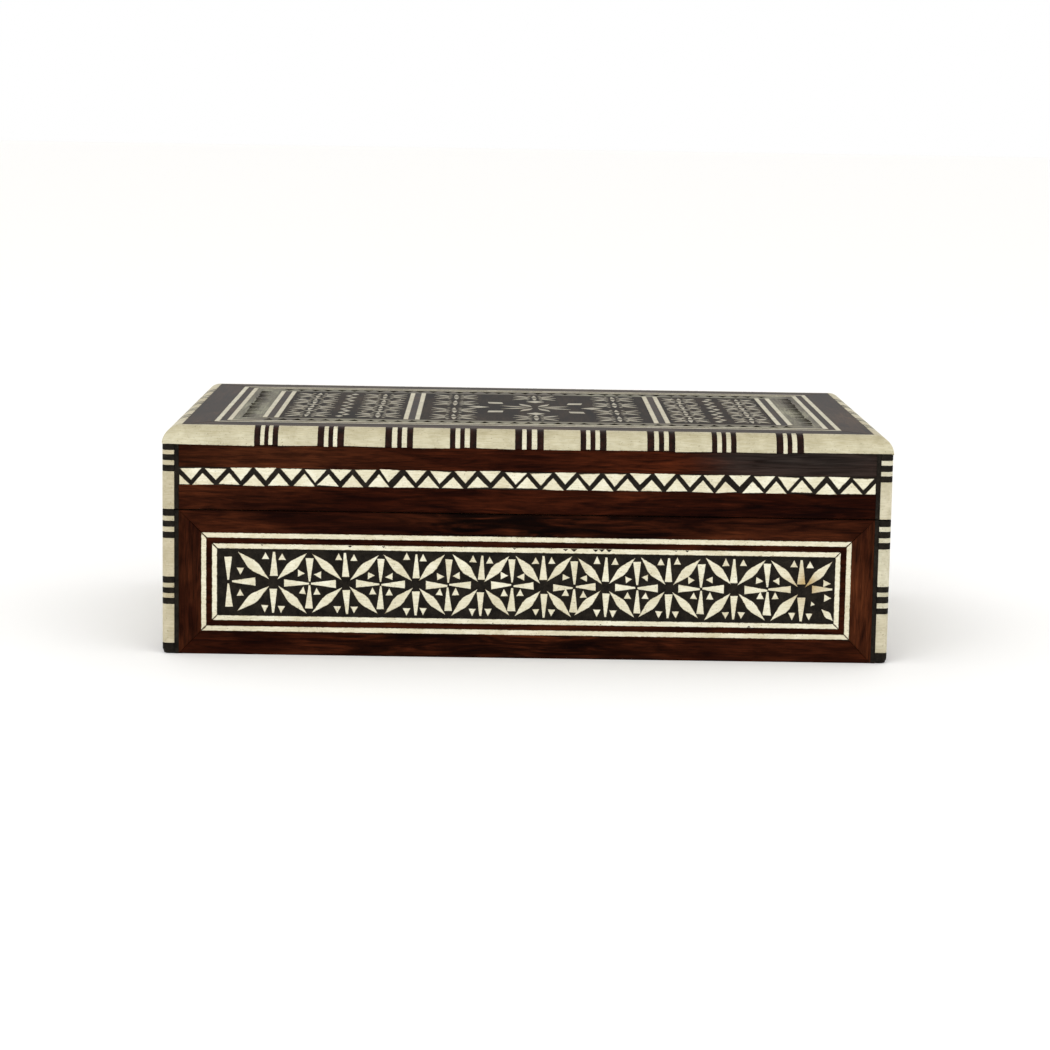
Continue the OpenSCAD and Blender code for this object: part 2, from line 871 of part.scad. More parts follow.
module top_side_mosaic() {
    color("ivory") top_veneer() {
        side_mosaic(0);
        side_mosaic(2);
    }
}

module top_medallion() {
    color("ivory") top_veneer() medallion();
}

// ---- Lining ----

lined = [cavity.x - lining_t, cavity.y - lining_t];

module lining_strips(z, h) {
    o = [-cavity.x, -cavity.y, cavity.x, cavity.y];
    translate([0, 0, z]) linear_extrude(h) mitred(o, inset(o, lining_t, lining_t));
}

module base_floor_lining() {
    color("firebrick") translate([0, 0, bottom_t])
        linear_extrude(lining_t) square(lined * 2, center = true);
}

module base_wall_lining() {
    color("firebrick") lining_strips(bottom_t, base_h - bottom_t - lining_drop);
}

module lid_ceiling_lining() {
    color("firebrick") translate([0, 0, apron_top - lining_t])
        linear_extrude(lining_t) square(lined * 2, center = true);
}

module lid_wall_lining() {
    color("firebrick") lining_strips(lid_z + lining_drop, apron_h - lining_drop);
}

// ---- The assembly ----

for (s = [0:3]) {
    base_wall(s);
    base_frame(s);
    base_stringing(s);
    base_field(s);
    base_stars(s);
    lid_wall(s);
    lid_apron(s);
}
bottom_board();
base_fillets();
base_post_bone();
base_post_ebony();
base_edge_lines();
base_floor_lining();
base_wall_lining();
base_hinge_leaves();
base_hinge_screws();
hinge_pins();
lid_top_board();
lid_zigzag_ebony();
lid_zigzag_bone();
lid_post_bone();
lid_post_ebony();
lid_edge_lines();
moulding_bone();
moulding_ebony();
top_border();
top_lines();
top_dark_lines();
top_band();
top_band_triangles();
top_panels();
top_side_mosaic();
top_medallion();
lid_ceiling_lining();
lid_wall_lining();
lid_hinge_leaves();
lid_hinge_screws();
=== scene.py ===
# %% [markdown]
# # An inlaid wooden box
#
# The box is a plain carcass of boards covered all over with thin veneer. Into the veneer go
# bone lines, bone stars and ebony, and sticks made of glued slices of bone and ebony guard the
# edges. The measured frame of the box is loaded first, and every piece below is laid into it.

# %% The frame
import json
import math
import random

import bpy
from mathutils import Matrix, Vector, noise


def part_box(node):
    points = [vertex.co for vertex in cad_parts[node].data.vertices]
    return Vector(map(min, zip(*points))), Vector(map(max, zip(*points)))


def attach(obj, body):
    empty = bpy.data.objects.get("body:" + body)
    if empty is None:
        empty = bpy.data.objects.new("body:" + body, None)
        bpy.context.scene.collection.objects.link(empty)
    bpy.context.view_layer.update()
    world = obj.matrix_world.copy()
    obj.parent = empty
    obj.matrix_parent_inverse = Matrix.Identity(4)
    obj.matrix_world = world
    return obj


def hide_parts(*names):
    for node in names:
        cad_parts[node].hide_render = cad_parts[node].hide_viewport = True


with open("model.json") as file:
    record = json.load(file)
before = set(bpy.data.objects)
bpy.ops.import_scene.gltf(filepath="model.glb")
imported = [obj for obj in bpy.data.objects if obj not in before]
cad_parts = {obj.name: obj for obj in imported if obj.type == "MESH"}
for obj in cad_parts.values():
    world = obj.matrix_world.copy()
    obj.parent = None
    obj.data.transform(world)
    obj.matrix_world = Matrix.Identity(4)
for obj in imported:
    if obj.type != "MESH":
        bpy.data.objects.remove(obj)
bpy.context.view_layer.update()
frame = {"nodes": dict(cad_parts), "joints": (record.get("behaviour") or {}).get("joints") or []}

MM = 0.001
SIDES = ["front", "right", "back", "left"]

# Without a seed this noise starts from the clock, and the inlay would differ each time.
noise.seed_set(11)

# %% [markdown]
# ## Camera, floor and light
#
# A low camera with a long lens looks a little down on the front, so the lid's top shows as a
# thin slope. Its three turns are put together in one matrix: down, to the right, and a roll.

# %% Camera
CAMERA_PLACE = Vector((-9.4, -863, 154)) * MM
PITCH_DOWN = 8.27
TURN_RIGHT = 0.63
ROLL = 0.95
LENS = 99.6

bpy.ops.object.select_all(action="DESELECT")
bpy.ops.object.camera_add(location=CAMERA_PLACE)
camera = bpy.context.object
camera.name = "camera"
camera.data.lens = LENS
camera.data.sensor_width = 36
aim = Matrix.Rotation(math.radians(-TURN_RIGHT), 4, "Z")
aim = aim @ Matrix.Rotation(math.radians(90 - PITCH_DOWN), 4, "X")
aim = aim @ Matrix.Rotation(math.radians(ROLL), 4, "Z")
camera.rotation_euler = aim.to_euler()
bpy.context.scene.camera = camera
print("camera at", tuple(round(v, 3) for v in camera.location), "lens", LENS)

# %% [markdown]
# ### Floor and light
#
# The light is soft, as in a white tent: an even bright sky with two large lamps in front of
# it. What the camera sees behind the box is plain white, and doesn't change the light.

# %% Floor and light
SKY = 1.03
BACKDROP = 1.0

bpy.ops.object.select_all(action="DESELECT")
bpy.ops.mesh.primitive_plane_add(size=12, location=(0, 3, -0.02 * MM))
floor = bpy.context.object
floor.name = "floor"


def soft_light(name, place, target, size, watts):
    """A square area light that faces the target."""
    bpy.ops.object.select_all(action="DESELECT")
    bpy.ops.object.light_add(type="AREA", location=place)
    light = bpy.context.object
    light.name = name
    light.data.size = size
    light.data.energy = watts
    light.rotation_euler = (Vector(target) - Vector(place)).to_track_quat("-Z", "Y").to_euler()
    return light


soft_light("key_light", (-0.7, -1.3, 1.3), (0, 0, 0.02), 1.0, 6)
soft_light("fill_light", (0.9, -1.1, 0.6), (0, 0, 0.03), 0.9, 2)

world = bpy.data.worlds.new("tent")
bpy.context.scene.world = world
world.use_nodes = True
tree = world.node_tree
seen = tree.nodes.new("ShaderNodeBackground")
seen.inputs["Color"].default_value = (BACKDROP, BACKDROP, BACKDROP, 1)
lit = tree.nodes["Background"]
lit.inputs["Color"].default_value = (1.0, 0.99, 0.97, 1)
lit.inputs["Strength"].default_value = SKY
path = tree.nodes.new("ShaderNodeLightPath")
pick = tree.nodes.new("ShaderNodeMixShader")
tree.links.new(path.outputs["Is Camera Ray"], pick.inputs["Fac"])
tree.links.new(lit.outputs["Background"], pick.inputs[1])
tree.links.new(seen.outputs["Background"], pick.inputs[2])
tree.links.new(pick.outputs["Shader"], tree.nodes["World Output"].inputs["Surface"])
bpy.context.scene.view_settings.view_transform = "Standard"
print("floor and two soft lights are in place")

# %% [markdown]
# ## Finishes
#
# Every finish is worked out in space, in millimetres, so a piece cut from it shows the grain
# that runs through it, as real stock does. Two numbers are stored in the meshes themselves:
# "tint" makes one piece differ from its neighbour, and "rim" is 1 along a piece's outline,
# where glue and old varnish gather and darken it. On the edge moulding both also carry painted
# shade, and on the front the upper strip's tint carries a painted reflection at its left end.


# %% Node helpers
def new_material(name, roughness, specular):
    """A material, its node tree and its shader, with the even values on the shader itself."""
    material = bpy.data.materials.new(name)
    material.use_nodes = True
    tree = material.node_tree
    shader = tree.nodes["Principled BSDF"]
    shader.inputs["Roughness"].default_value = roughness
    shader.inputs["Specular IOR Level"].default_value = specular
    return material, tree, shader


def space(tree, stretch):
    """Object space in millimetres, squeezed by a factor for each axis."""
    coordinates = tree.nodes.new("ShaderNodeTexCoord")
    mapping = tree.nodes.new("ShaderNodeMapping")
    mapping.inputs["Scale"].default_value = [s / MM for s in stretch]
    tree.links.new(coordinates.outputs["Object"], mapping.inputs["Vector"])
    return mapping.outputs["Vector"]


def noise_of(tree, stretch, detail=3.0, rough=0.5, twist=0.0):
    """Cloudy noise from 0 to 1."""
    node = tree.nodes.new("ShaderNodeTexNoise")
    node.inputs["Scale"].default_value = 1.0
    node.inputs["Detail"].default_value = detail
    node.inputs["Roughness"].default_value = rough
    node.inputs["Distortion"].default_value = twist
    tree.links.new(space(tree, stretch), node.inputs["Vector"])
    return node.outputs["Fac"]


def ramp(tree, value, stops):
    """Turns a value into a colour: stops are (place, (r, g, b))."""
    node = tree.nodes.new("ShaderNodeValToRGB")
    elements = node.color_ramp.elements
    while len(elements) < len(stops):
        elements.new(0.5)
    for element, (place, colour) in zip(elements, stops):
        element.position = place
        element.color = (*colour, 1)
    tree.links.new(value, node.inputs["Fac"])
    return node.outputs["Color"]


def mix(tree, how, amount, a, b):
    """Blends two colours. The amount and b may be plain values or sockets."""
    node = tree.nodes.new("ShaderNodeMix")
    node.data_type = "RGBA"
    node.blend_type = how
    for name, value in (("Factor", amount), ("A", a), ("B", b)):
        socket = node.inputs[name]
        if isinstance(value, bpy.types.NodeSocket):
            tree.links.new(value, socket)
        else:
            socket.default_value = value
    return node.outputs["Result"]


def scaled(tree, value, low, high, to_low=0.0, to_high=1.0):
    """Maps a value from one range to another, and stops at its ends."""
    node = tree.nodes.new("ShaderNodeMapRange")
    node.inputs["From Min"].default_value = low
    node.inputs["From Max"].default_value = high
    node.inputs["To Min"].default_value = to_low
    node.inputs["To Max"].default_value = to_high
    tree.links.new(value, node.inputs["Value"])
    return node.outputs["Result"]


def stored(tree, name):
    """The number that a mesh stores under this name."""
    node = tree.nodes.new("ShaderNodeAttribute")
    node.attribute_name = name
    return node.outputs["Fac"]


def relief(tree, shader, height, depth_mm, strength):
    """Small unevenness of the surface."""
    node = tree.nodes.new("ShaderNodeBump")
    node.inputs["Distance"].default_value = depth_mm * MM
    node.inputs["Strength"].default_value = strength
    tree.links.new(height, node.inputs["Height"])
    tree.links.new(node.outputs["Normal"], shader.inputs["Normal"])


def grey(value):
    return (value, value, value, 1)


# %% [markdown]
# ### Wood
#
# The wood's colour is a soft noise drawn out along the grain, darkened by a much finer noise
# for the pores. One function serves every wood: the axis says which way its grain runs.


# %% Woods
def wood(name, axis, dark, light, roughness=0.55, specular=0.02, pores=0.7):
    """A wood whose grain runs along axis 0, 1 or 2."""
    material, tree, shader = new_material(name, roughness, specular)

    def along(fine, long):
        stretch = [fine, fine, fine]
        stretch[axis] = long
        return stretch

    patch = noise_of(tree, along(0.06, 0.018), 3, 0.6, 0.8)
    figure = noise_of(tree, along(0.36, 0.045), 5, 0.6, 1.4)
    streak = noise_of(tree, along(1.5, 0.07), 4, 0.6, 0.8)
    pore = noise_of(tree, along(5.5, 0.22), 2, 0.5)
    colour = ramp(tree, figure, [(0.32, dark), (0.68, light)])
    patches = ramp(tree, patch, [(0.36, (0.45, 0.4, 0.4)), (0.64, (1.35, 1.5, 1.45))])
    colour = mix(tree, "MULTIPLY", 1.0, colour, patches)
    streaks = ramp(tree, streak, [(0.34, (0.3,) * 3), (0.62, (1.35,) * 3)])
    colour = mix(tree, "MULTIPLY", 0.6, colour, streaks)
    dark_pores = ramp(tree, pore, [(0.34, (0.3,) * 3), (0.5, (1,) * 3)])
    colour = mix(tree, "MULTIPLY", pores, colour, dark_pores)
    colour = mix(tree, "MULTIPLY", stored(tree, "tint"), colour, (1.9, 2.7, 3.0, 1))
    smoked = ramp(tree, streak, [(0.3, (0.009, 0.007, 0.006)), (0.7, (0.040, 0.032, 0.028))])
    colour = mix(tree, "MIX", stored(tree, "smoke"), colour, smoked)
    heart = tree.nodes.new("ShaderNodeMath")
    heart.operation = "MULTIPLY"
    tree.links.new(stored(tree, "heart"), heart.inputs[0])
    tree.links.new(scaled(tree, figure, 0.62, 0.46), heart.inputs[1])
    colour = mix(tree, "MULTIPLY", heart.outputs["Value"], colour, (0.22, 0.24, 0.26, 1))
    tree.links.new(colour, shader.inputs["Base Color"])
    relief(tree, shader, pore, 0.05, 0.35)
    return material


ROSE_DARK = (0.0095, 0.0014, 0.0006)
ROSE_LIGHT = (0.046, 0.0082, 0.0026)
rosewood = [wood(f"rosewood_{a}", i, ROSE_DARK, ROSE_LIGHT) for i, a in enumerate("xyz")]
top_wood = [
    wood(f"varnished_rosewood_{a}", i, (0.010, 0.0035, 0.0018), (0.034, 0.0125, 0.0058), 0.5, 0.07)
    for i, a in enumerate("xy")
]
panel_wood = wood(
    "varnished_panel_wood", 1, (0.007, 0.0032, 0.0020), (0.022, 0.0105, 0.0055), 0.55, 0.03
)
carcass = [
    wood(f"carcass_wood_{a}", i, (0.16, 0.07, 0.032), (0.36, 0.19, 0.09), 0.65, 0.3)
    for i, a in enumerate("xyz")
]
pale_wood = [
    wood(f"pale_wood_{a}", i, (0.092, 0.071, 0.047), (0.18, 0.143, 0.098), 0.5, 0.08, 0.5)
    for i, a in enumerate("xy")
]
print("woods:", [m.name for m in rosewood + top_wood + carcass + pale_wood])


# %% [markdown]
# ### Ebony and bone
#
# Ebony is nearly black with a few grey scratches. Bone is cream, cloudy, and speckled with
# tiny dark canals. Its tint runs from fresh white at 0 to the tan of old stained bone at 1.


# %% Ebony
def ebony_material(name, roughness, specular, worn=(0.021, 0.017, 0.0125)):
    material, tree, shader = new_material(name, roughness, specular)
    cloud = noise_of(tree, (0.5, 0.5, 0.5), 5, 0.65)
    fine = noise_of(tree, (3.2, 3.2, 3.2), 3, 0.6)
    colour = ramp(tree, cloud, [(0.3, (0.0045, 0.0036, 0.0027)), (0.75, worn)])
    flecks = ramp(tree, fine, [(0.35, (0.5,) * 3), (0.65, (1.5,) * 3)])
    colour = mix(tree, "MULTIPLY", 0.7, colour, flecks)
    tree.links.new(colour, shader.inputs["Base Color"])
    relief(tree, shader, fine, 0.06, 0.35)
    return material


ebony = ebony_material("ebony", 0.5, 0.05)
top_ebony = ebony_material("varnished_ebony", 0.6, 0.0)
slice_ebony = ebony_material("red_ebony", 0.5, 0.05, (0.030, 0.0095, 0.006))


# %% [markdown]
# Bone is worked in several layers: clouds, fine lines, dark canals, the age of the piece, and
# last the rim, which a noise eats into, so that grime sits unevenly along every joint. On the
# edge moulding the age and the rim also hold painted shade along its upper and lower edges.

# %% Bone
def bone_material(name, dark, light, specular=0.15, aged=(0.62, 0.47, 0.27)):
    material, tree, shader = new_material(name, 0.42, specular)
    cloud = noise_of(tree, (0.16, 0.16, 0.16), 4, 0.6, 0.5)
    line = noise_of(tree, (0.35, 2.6, 2.6), 2, 0.5)
    speck = noise_of(tree, (2.4, 2.4, 2.4), 2, 0.5)
    nick = noise_of(tree, (1.1, 1.1, 1.1), 3, 0.6)
    colour = ramp(tree, cloud, [(0.3, dark), (0.7, light)])
    grain = ramp(tree, line, [(0.36, (0.78, 0.75, 0.66)), (0.6, (1, 1, 1))])
    colour = mix(tree, "MULTIPLY", 0.55, colour, grain)
    canals = ramp(tree, speck, [(0.24, (0.3, 0.25, 0.2)), (0.36, (1, 1, 1))])
    colour = mix(tree, "MULTIPLY", 0.8, colour, canals)
    # On the moulding, tint and rim also hold painted shade: towards its upper edge, and as a dark line
    # along its lower edge.
    colour = mix(tree, "MULTIPLY", stored(tree, "tint"), colour, (*aged, 1))
    worn = tree.nodes.new("ShaderNodeMath")
    worn.operation = "ADD"
    tree.links.new(stored(tree, "rim"), worn.inputs[0])
    tree.links.new(scaled(tree, nick, 0.3, 0.75, -0.45, 0.4), worn.inputs[1])
    edge = ramp(tree, worn.outputs["Value"], [(0.5, (1, 1, 1)), (1.0, (0.22, 0.17, 0.11))])
    colour = mix(tree, "MULTIPLY", 1.0, colour, edge)
    tree.links.new(colour, shader.inputs["Base Color"])
    shader.inputs["Subsurface Weight"].default_value = 0.06
    shader.inputs["Subsurface Radius"].default_value = (0.0012, 0.001, 0.0007)
    shader.inputs["Subsurface Scale"].default_value = 1.0
    relief(tree, shader, line, 0.05, 0.3)
    return material


bone = bone_material("bone", (0.70, 0.66, 0.49), (0.87, 0.85, 0.70))
old_bone = bone_material(
    "moulding_bone", (0.60, 0.57, 0.42), (0.80, 0.78, 0.62), 0.15, (0.50, 0.43, 0.29)
)
post_bone = bone_material("post_bone", (0.50, 0.47, 0.34), (0.70, 0.67, 0.53))
top_bone = bone_material("top_bone", (0.24, 0.22, 0.16), (0.44, 0.41, 0.32), 0.12)
top_line_bone = bone_material("top_line_bone", (0.44, 0.42, 0.31), (0.62, 0.59, 0.46), 0.15)


# %% [markdown]
# ### Brass, velvet and the floor
#
# Aged brass is rough in patches. Velvet is a fine pile: it is dark face on and gains a soft
# bright sheen at the edge. The floor is a plain pale sheet.


# %% Brass, velvet and floor
def brass_material():
    material, tree, shader = new_material("aged_brass", 0.35, 0.5)
    shader.inputs["Metallic"].default_value = 1.0
    cloud = noise_of(tree, (0.6, 0.6, 0.6), 5, 0.65)
    colour = ramp(tree, cloud, [(0.3, (0.26, 0.16, 0.06)), (0.65, (0.62, 0.43, 0.18))])
    tree.links.new(colour, shader.inputs["Base Color"])
    tree.links.new(scaled(tree, cloud, 0.3, 0.7, 0.55, 0.28), shader.inputs["Roughness"])
    relief(tree, shader, noise_of(tree, (4, 4, 4), 2, 0.5), 0.03, 0.3)
    return material


def velvet_material():
    material, tree, shader = new_material("red_velvet", 0.85, 0.1)
    patch = noise_of(tree, (0.07, 0.07, 0.07), 3, 0.6, 0.4)
    pile = noise_of(tree, (4.5, 4.5, 4.5), 2, 0.6)
    colour = ramp(tree, patch, [(0.32, (0.10, 0.004, 0.007)), (0.68, (0.27, 0.012, 0.018))])
    shaded_pile = ramp(tree, pile, [(0.3, (0.45,) * 3), (0.7, (1.3,) * 3)])
    colour = mix(tree, "MULTIPLY", 0.7, colour, shaded_pile)
    tree.links.new(colour, shader.inputs["Base Color"])
    shader.inputs["Sheen Weight"].default_value = 0.6
    shader.inputs["Sheen Roughness"].default_value = 0.4
    shader.inputs["Sheen Tint"].default_value = (1.0, 0.45, 0.45, 1)
    relief(tree, shader, pile, 0.12, 0.5)
    return material


brass = brass_material()
velvet = velvet_material()
paper, _, paper_shader = new_material("pale_floor", 0.9, 0.1)
paper_shader.inputs["Base Color"].default_value = grey(0.97)
floor.data.materials.append(paper)
print("finishes:", len(bpy.data.materials))

# %% [markdown]
# ## A small bench of tools
#
# A piece starts as a primitive, is sawn with bisect, shaped with extrude, inset and bevel, and
# ends with its place in its mesh. Everything is deselected before each step, because an
# operator works on all that is selected.


# %% Bench tools
def activate(piece):
    """Selects this piece alone."""
    bpy.ops.object.select_all(action="DESELECT")
    piece.select_set(True)
    bpy.context.view_layer.objects.active = piece


def settle(piece):
    """Moves the piece's place, turn and size into its mesh."""
    activate(piece)
    bpy.ops.object.transform_apply(location=True, rotation=True, scale=True)
    return piece


def slab(low, high):
    """A block between two corners."""
    low = Vector(low)
    high = Vector(high)
    bpy.ops.object.select_all(action="DESELECT")
    bpy.ops.mesh.primitive_cube_add(size=1, location=(low + high) / 2, scale=high - low)
    return settle(bpy.context.object)


def saw(piece, point, normal):
    """Cuts the piece at a plane, drops the side that the normal points to and closes the cut."""
    activate(piece)
    bpy.ops.object.mode_set(mode="EDIT")
    bpy.ops.mesh.select_all(action="SELECT")
    bpy.ops.mesh.bisect(plane_co=point, plane_no=normal, use_fill=True, clear_outer=True)
    bpy.ops.object.mode_set(mode="OBJECT")
    return piece


def score(piece, point, normal):
    """Adds a line of edges where a plane passes through the piece."""
    activate(piece)
    bpy.ops.object.mode_set(mode="EDIT")
    bpy.ops.mesh.select_all(action="SELECT")
    bpy.ops.mesh.bisect(plane_co=point, plane_no=normal)
    bpy.ops.object.mode_set(mode="OBJECT")
    return piece


def twin(piece):
    """A copy with its own mesh."""
    copy = piece.copy()
    copy.data = piece.data.copy()
    bpy.context.scene.collection.objects.link(copy)
    return copy


def join(pieces):
    """One object from many."""
    bpy.ops.object.select_all(action="DESELECT")
    for piece in pieces:
        piece.select_set(True)
    bpy.context.view_layer.objects.active = pieces[0]
    if len(pieces) > 1:
        bpy.ops.object.join()
    return pieces[0]


def soften(piece, width, segments=1, angle=35):
    """Rounds the edges that are sharper than the angle."""
    activate(piece)
    bevel = piece.modifiers.new("Bevel", "BEVEL")
    bevel.width = width
    bevel.segments = segments
    bevel.limit_method = "ANGLE"
    bevel.angle_limit = math.radians(angle)
    bpy.ops.object.modifier_apply(modifier=bevel.name)
    return piece


def store(piece, name, value):
    """Stores a number at each vertex: value is a number or a function of the vertex's place."""
    layer = piece.data.attributes.get(name) or piece.data.attributes.new(name, "FLOAT", "POINT")
    for vertex, item in zip(piece.data.vertices, layer.data):
        item.value = value(vertex.co) if callable(value) else value
    return piece


def turn(piece, side):
    """Turns a piece made for the front round to another side."""
    piece.rotation_euler = (0, 0, math.radians(90 * SIDES.index(side)))
    return settle(piece)


def finish(piece, name, material, body, slot, *nodes):
    """Names a piece, gives it its finish and fixes it to its body in place of CAD nodes."""
    piece.name = name
    piece.data.name = name
    piece.data.materials.clear()
    piece.data.materials.append(material)
    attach(piece, body)
    if nodes:
        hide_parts(*nodes)
    print(f"{name}: {len(piece.data.polygons)} faces")
    return piece


# %% [markdown]
# ## Measures of a side
#
# Each side is worked on as if it were the front: x runs along it, z up, and the face looks
# towards -y. The side's lengths come from the frame, and the piece is turned round at the end.


# %% Side measures
def is_long(side):
    return side in ("front", "back")


def half_of(node, side):
    """Half a node's length along its side."""
    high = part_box(node)[1]
    return high.x if is_long(side) else high.y


def reach_of(node, side):
    """The node's outermost distance from the middle, across its side."""
    low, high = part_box(node)
    return max(abs(low.y), abs(high.y)) if is_long(side) else max(abs(low.x), abs(high.x))


def band_of(node):
    """The node's lowest and highest z."""
    low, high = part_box(node)
    return low.z, high.z


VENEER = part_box("base_front_frame")[1].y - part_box("base_front_frame")[0].y
LINE = band_of("base_fillets")[0] - band_of("base_front_stringing")[0]
FILLET = band_of("base_front_field")[0] - band_of("base_fillets")[0] - LINE
print("veneer, line and fillet, in mm:", [round(v / MM, 2) for v in (VENEER, LINE, FILLET)])


def rect(half, z0, z1):
    return [-half, z0, half, z1]


def shrink(r, by):
    return [r[0] + by, r[1] + by, r[2] - by, r[3] - by]


# %% [markdown]
# ## Mitred strips
#
# The frame, the bone lines and the fillet are all four strips that meet at mitres. A strip is
# a block sawn at each end along the line from the outer corner to the inner one. A hair of
# air is left in each mitre, and shows as the dark line that such joints open into with age.


# %% Mitred strips
def mitre(piece, outer, inner, keep, gap):
    """Saws the end of a strip along the line from the outer corner to the inner corner."""
    along = Vector((inner[0] - outer[0], 0, inner[1] - outer[1]))
    normal = Vector((along.z, 0, -along.x)).normalized()
    start = Vector((outer[0], 0, outer[1]))
    if normal.dot(Vector((keep[0], 0, keep[1])) - start) > 0:
        normal.negate()
    return saw(piece, start - normal * gap, normal)


def strips(o, i, back, face, gap):
    """Four mitred strips between two rectangles: bottom, right, top and left."""
    corners = [(0, 1), (2, 1), (2, 3), (0, 3)]
    spans = [
        (o[0], o[1], o[2], i[1]),
        (i[2], o[1], o[2], o[3]),
        (o[0], i[3], o[2], o[3]),
        (o[0], o[1], i[0], o[3]),
    ]
    made = []
    for k, (x0, z0, x1, z1) in enumerate(spans):
        piece = slab((x0, -face, z0), (x1, -back, z1))
        middle = ((x0 + x1) / 2, (z0 + z1) / 2)
        for c in (k, (k + 1) % 4):
            a, b = corners[c]
            mitre(piece, (o[a], o[b]), (i[a], i[b]), middle, gap)
        made.append(piece)
    return made


def edge_rim(piece, towards, width):
    """Insets the faces that look one way. Their outline keeps rim 1 and their inside rim 0."""
    activate(piece)
    for polygon in piece.data.polygons:
        polygon.select = polygon.normal.dot(Vector(towards)) > 0.95
    for edge in piece.data.edges:
        edge.select = False
    for vertex in piece.data.vertices:
        vertex.select = False
    for polygon in piece.data.polygons:
        if polygon.select:
            for index in polygon.vertices:
                piece.data.vertices[index].select = True
    bpy.ops.object.mode_set(mode="EDIT")
    bpy.ops.mesh.select_mode(type="FACE")
    bpy.ops.mesh.inset(thickness=width, depth=0)
    bpy.ops.object.mode_set(mode="OBJECT")
    inside = {i for polygon in piece.data.polygons if polygon.select for i in polygon.vertices}
    layer = piece.data.attributes.get("rim") or piece.data.attributes.new("rim", "FLOAT", "POINT")
    for vertex, item in zip(piece.data.vertices, layer.data):
        item.value = 0.0 if vertex.index in inside else 1.0
    return piece


# %% [markdown]
# A long strip can be cut into short lengths along itself. Numbers stored at the cuts then let
# its wood change from place to place: lighter at one end, smoky, or streaked with black heart.

# %% Shading along a strip
STRIP_CUTS = 40


def divide_along(piece, cuts=STRIP_CUTS):
    """Cuts the long edges of a strip into short ones, so that stored numbers can vary along it."""
    activate(piece)
    longest = max(range(3), key=lambda axis: piece.dimensions[axis])
    for polygon in piece.data.polygons:
        polygon.select = False
    for vertex in piece.data.vertices:
        vertex.select = False
    for edge in piece.data.edges:
        a, b = (piece.data.vertices[i].co for i in edge.vertices)
        edge.select = abs((b - a)[longest]) > 0.5 * piece.dimensions[longest]
    bpy.ops.object.mode_set(mode="EDIT")
    bpy.ops.mesh.select_mode(type="EDGE")
    bpy.ops.mesh.subdivide(number_cuts=cuts)
    bpy.ops.object.mode_set(mode="OBJECT")
    return piece


def smooth_step(value, low, high):
    """Rises softly from 0 to 1 between two places."""
    t = max(0.0, min(1.0, (value - low) / (high - low)))
    return t * t * (3 - 2 * t)


def heart_near(middle, inner, outer, depth=1.0):
    """Black heart round a place along a strip, fading between two distances from it, in mm."""
    return lambda co: depth * smooth_step(-abs(co.x - middle * MM), -outer * MM, -inner * MM)


# %% [markdown]
# ## The base's wooden frames
#
# Four dark strips frame each face of the base. The level strips have their grain along the
# side and the upright ones have it upright, so a frame uses two woods. At the back the corner
# behind the hinge line is planed off, so the lid can swing back, and the knuckles get a hollow.

# %% Base frames
rng = random.Random(11)
hinge = frame["joints"][0]
hinge_point = Vector(hinge["pos_m"])
BEVEL_ANGLE = math.radians((hinge["range_deg"][1] + 2) / 2)
KNUCKLE_ROOM = 1.8 * MM
HINGE_HALF = 9 * MM
HOLLOW_HALF = 9.3 * MM


def plane_behind(piece, z, up):
    """Planes off the corner behind the hinge line, so that the lid can swing back."""
    normal = Vector((0, math.sin(BEVEL_ANGLE), up * math.cos(BEVEL_ANGLE)))
    return saw(piece, (0, hinge_point.y, z), normal)


def relieve(piece):
    """Hollows a piece round the two hinges' knuckles."""
    low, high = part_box("hinge_pins")
    for x in (low.x, high.x):
        middle = x - math.copysign(HINGE_HALF, x)
        bpy.ops.object.select_all(action="DESELECT")
        bpy.ops.mesh.primitive_cylinder_add(
            vertices=24, radius=KNUCKLE_ROOM, depth=2 * HOLLOW_HALF,
            location=(middle, hinge_point.y, hinge_point.z), rotation=(0, math.pi / 2, 0),
        )
        cutter = settle(bpy.context.object)
        activate(piece)
        hollow = piece.modifiers.new("Hollow", "BOOLEAN")
        hollow.operation = "DIFFERENCE"
        hollow.solver = "EXACT"
        hollow.object = cutter
        bpy.ops.object.modifier_apply(modifier=hollow.name)
        bpy.data.objects.remove(cutter)
    return piece


for side in SIDES:
    node = f"base_{side}_frame"
    face = reach_of(node, side)
    outer = rect(half_of(node, side), *band_of("base_front_frame"))
    inner = rect(half_of(f"base_{side}_stringing", side), *band_of(f"base_{side}_stringing"))
    made = strips(outer, inner, face - VENEER, face, 0.07 * MM)
    for piece in made:
        soften(piece, 0.12 * MM)
        store(piece, "tint", rng.uniform(0.1, 0.35))
    if side == "front":
        divide_along(made[2])
        store(made[2], "heart", heart_near(4, 22, 48))
        divide_along(made[0])
        store(made[0], "heart", heart_near(-12, 30, 60, 0.7))
    store(made[1], "tint", 0.7)
    store(made[3], "tint", 0.7)
    made = [turn(piece, side) for piece in made]
    if side == "back":
        made = [plane_behind(piece, outer[3], 1) for piece in made]
        relieve(made[2])
    rails = join([made[0], made[2]])
    stiles = join([made[1], made[3]])
    finish(rails, f"base_{side}_rails", rosewood[0 if is_long(side) else 1], "base", "rosewood", node)
    finish(stiles, f"base_{side}_stiles", rosewood[2], "base", "rosewood", node)

# %% [markdown]
# ## Bone lines and fillets
#
# Two bone lines run round inside the frame with a red wood fillet between them. A line is only
# 1.4 mm wide, so each strip is made separately and given its own shade.

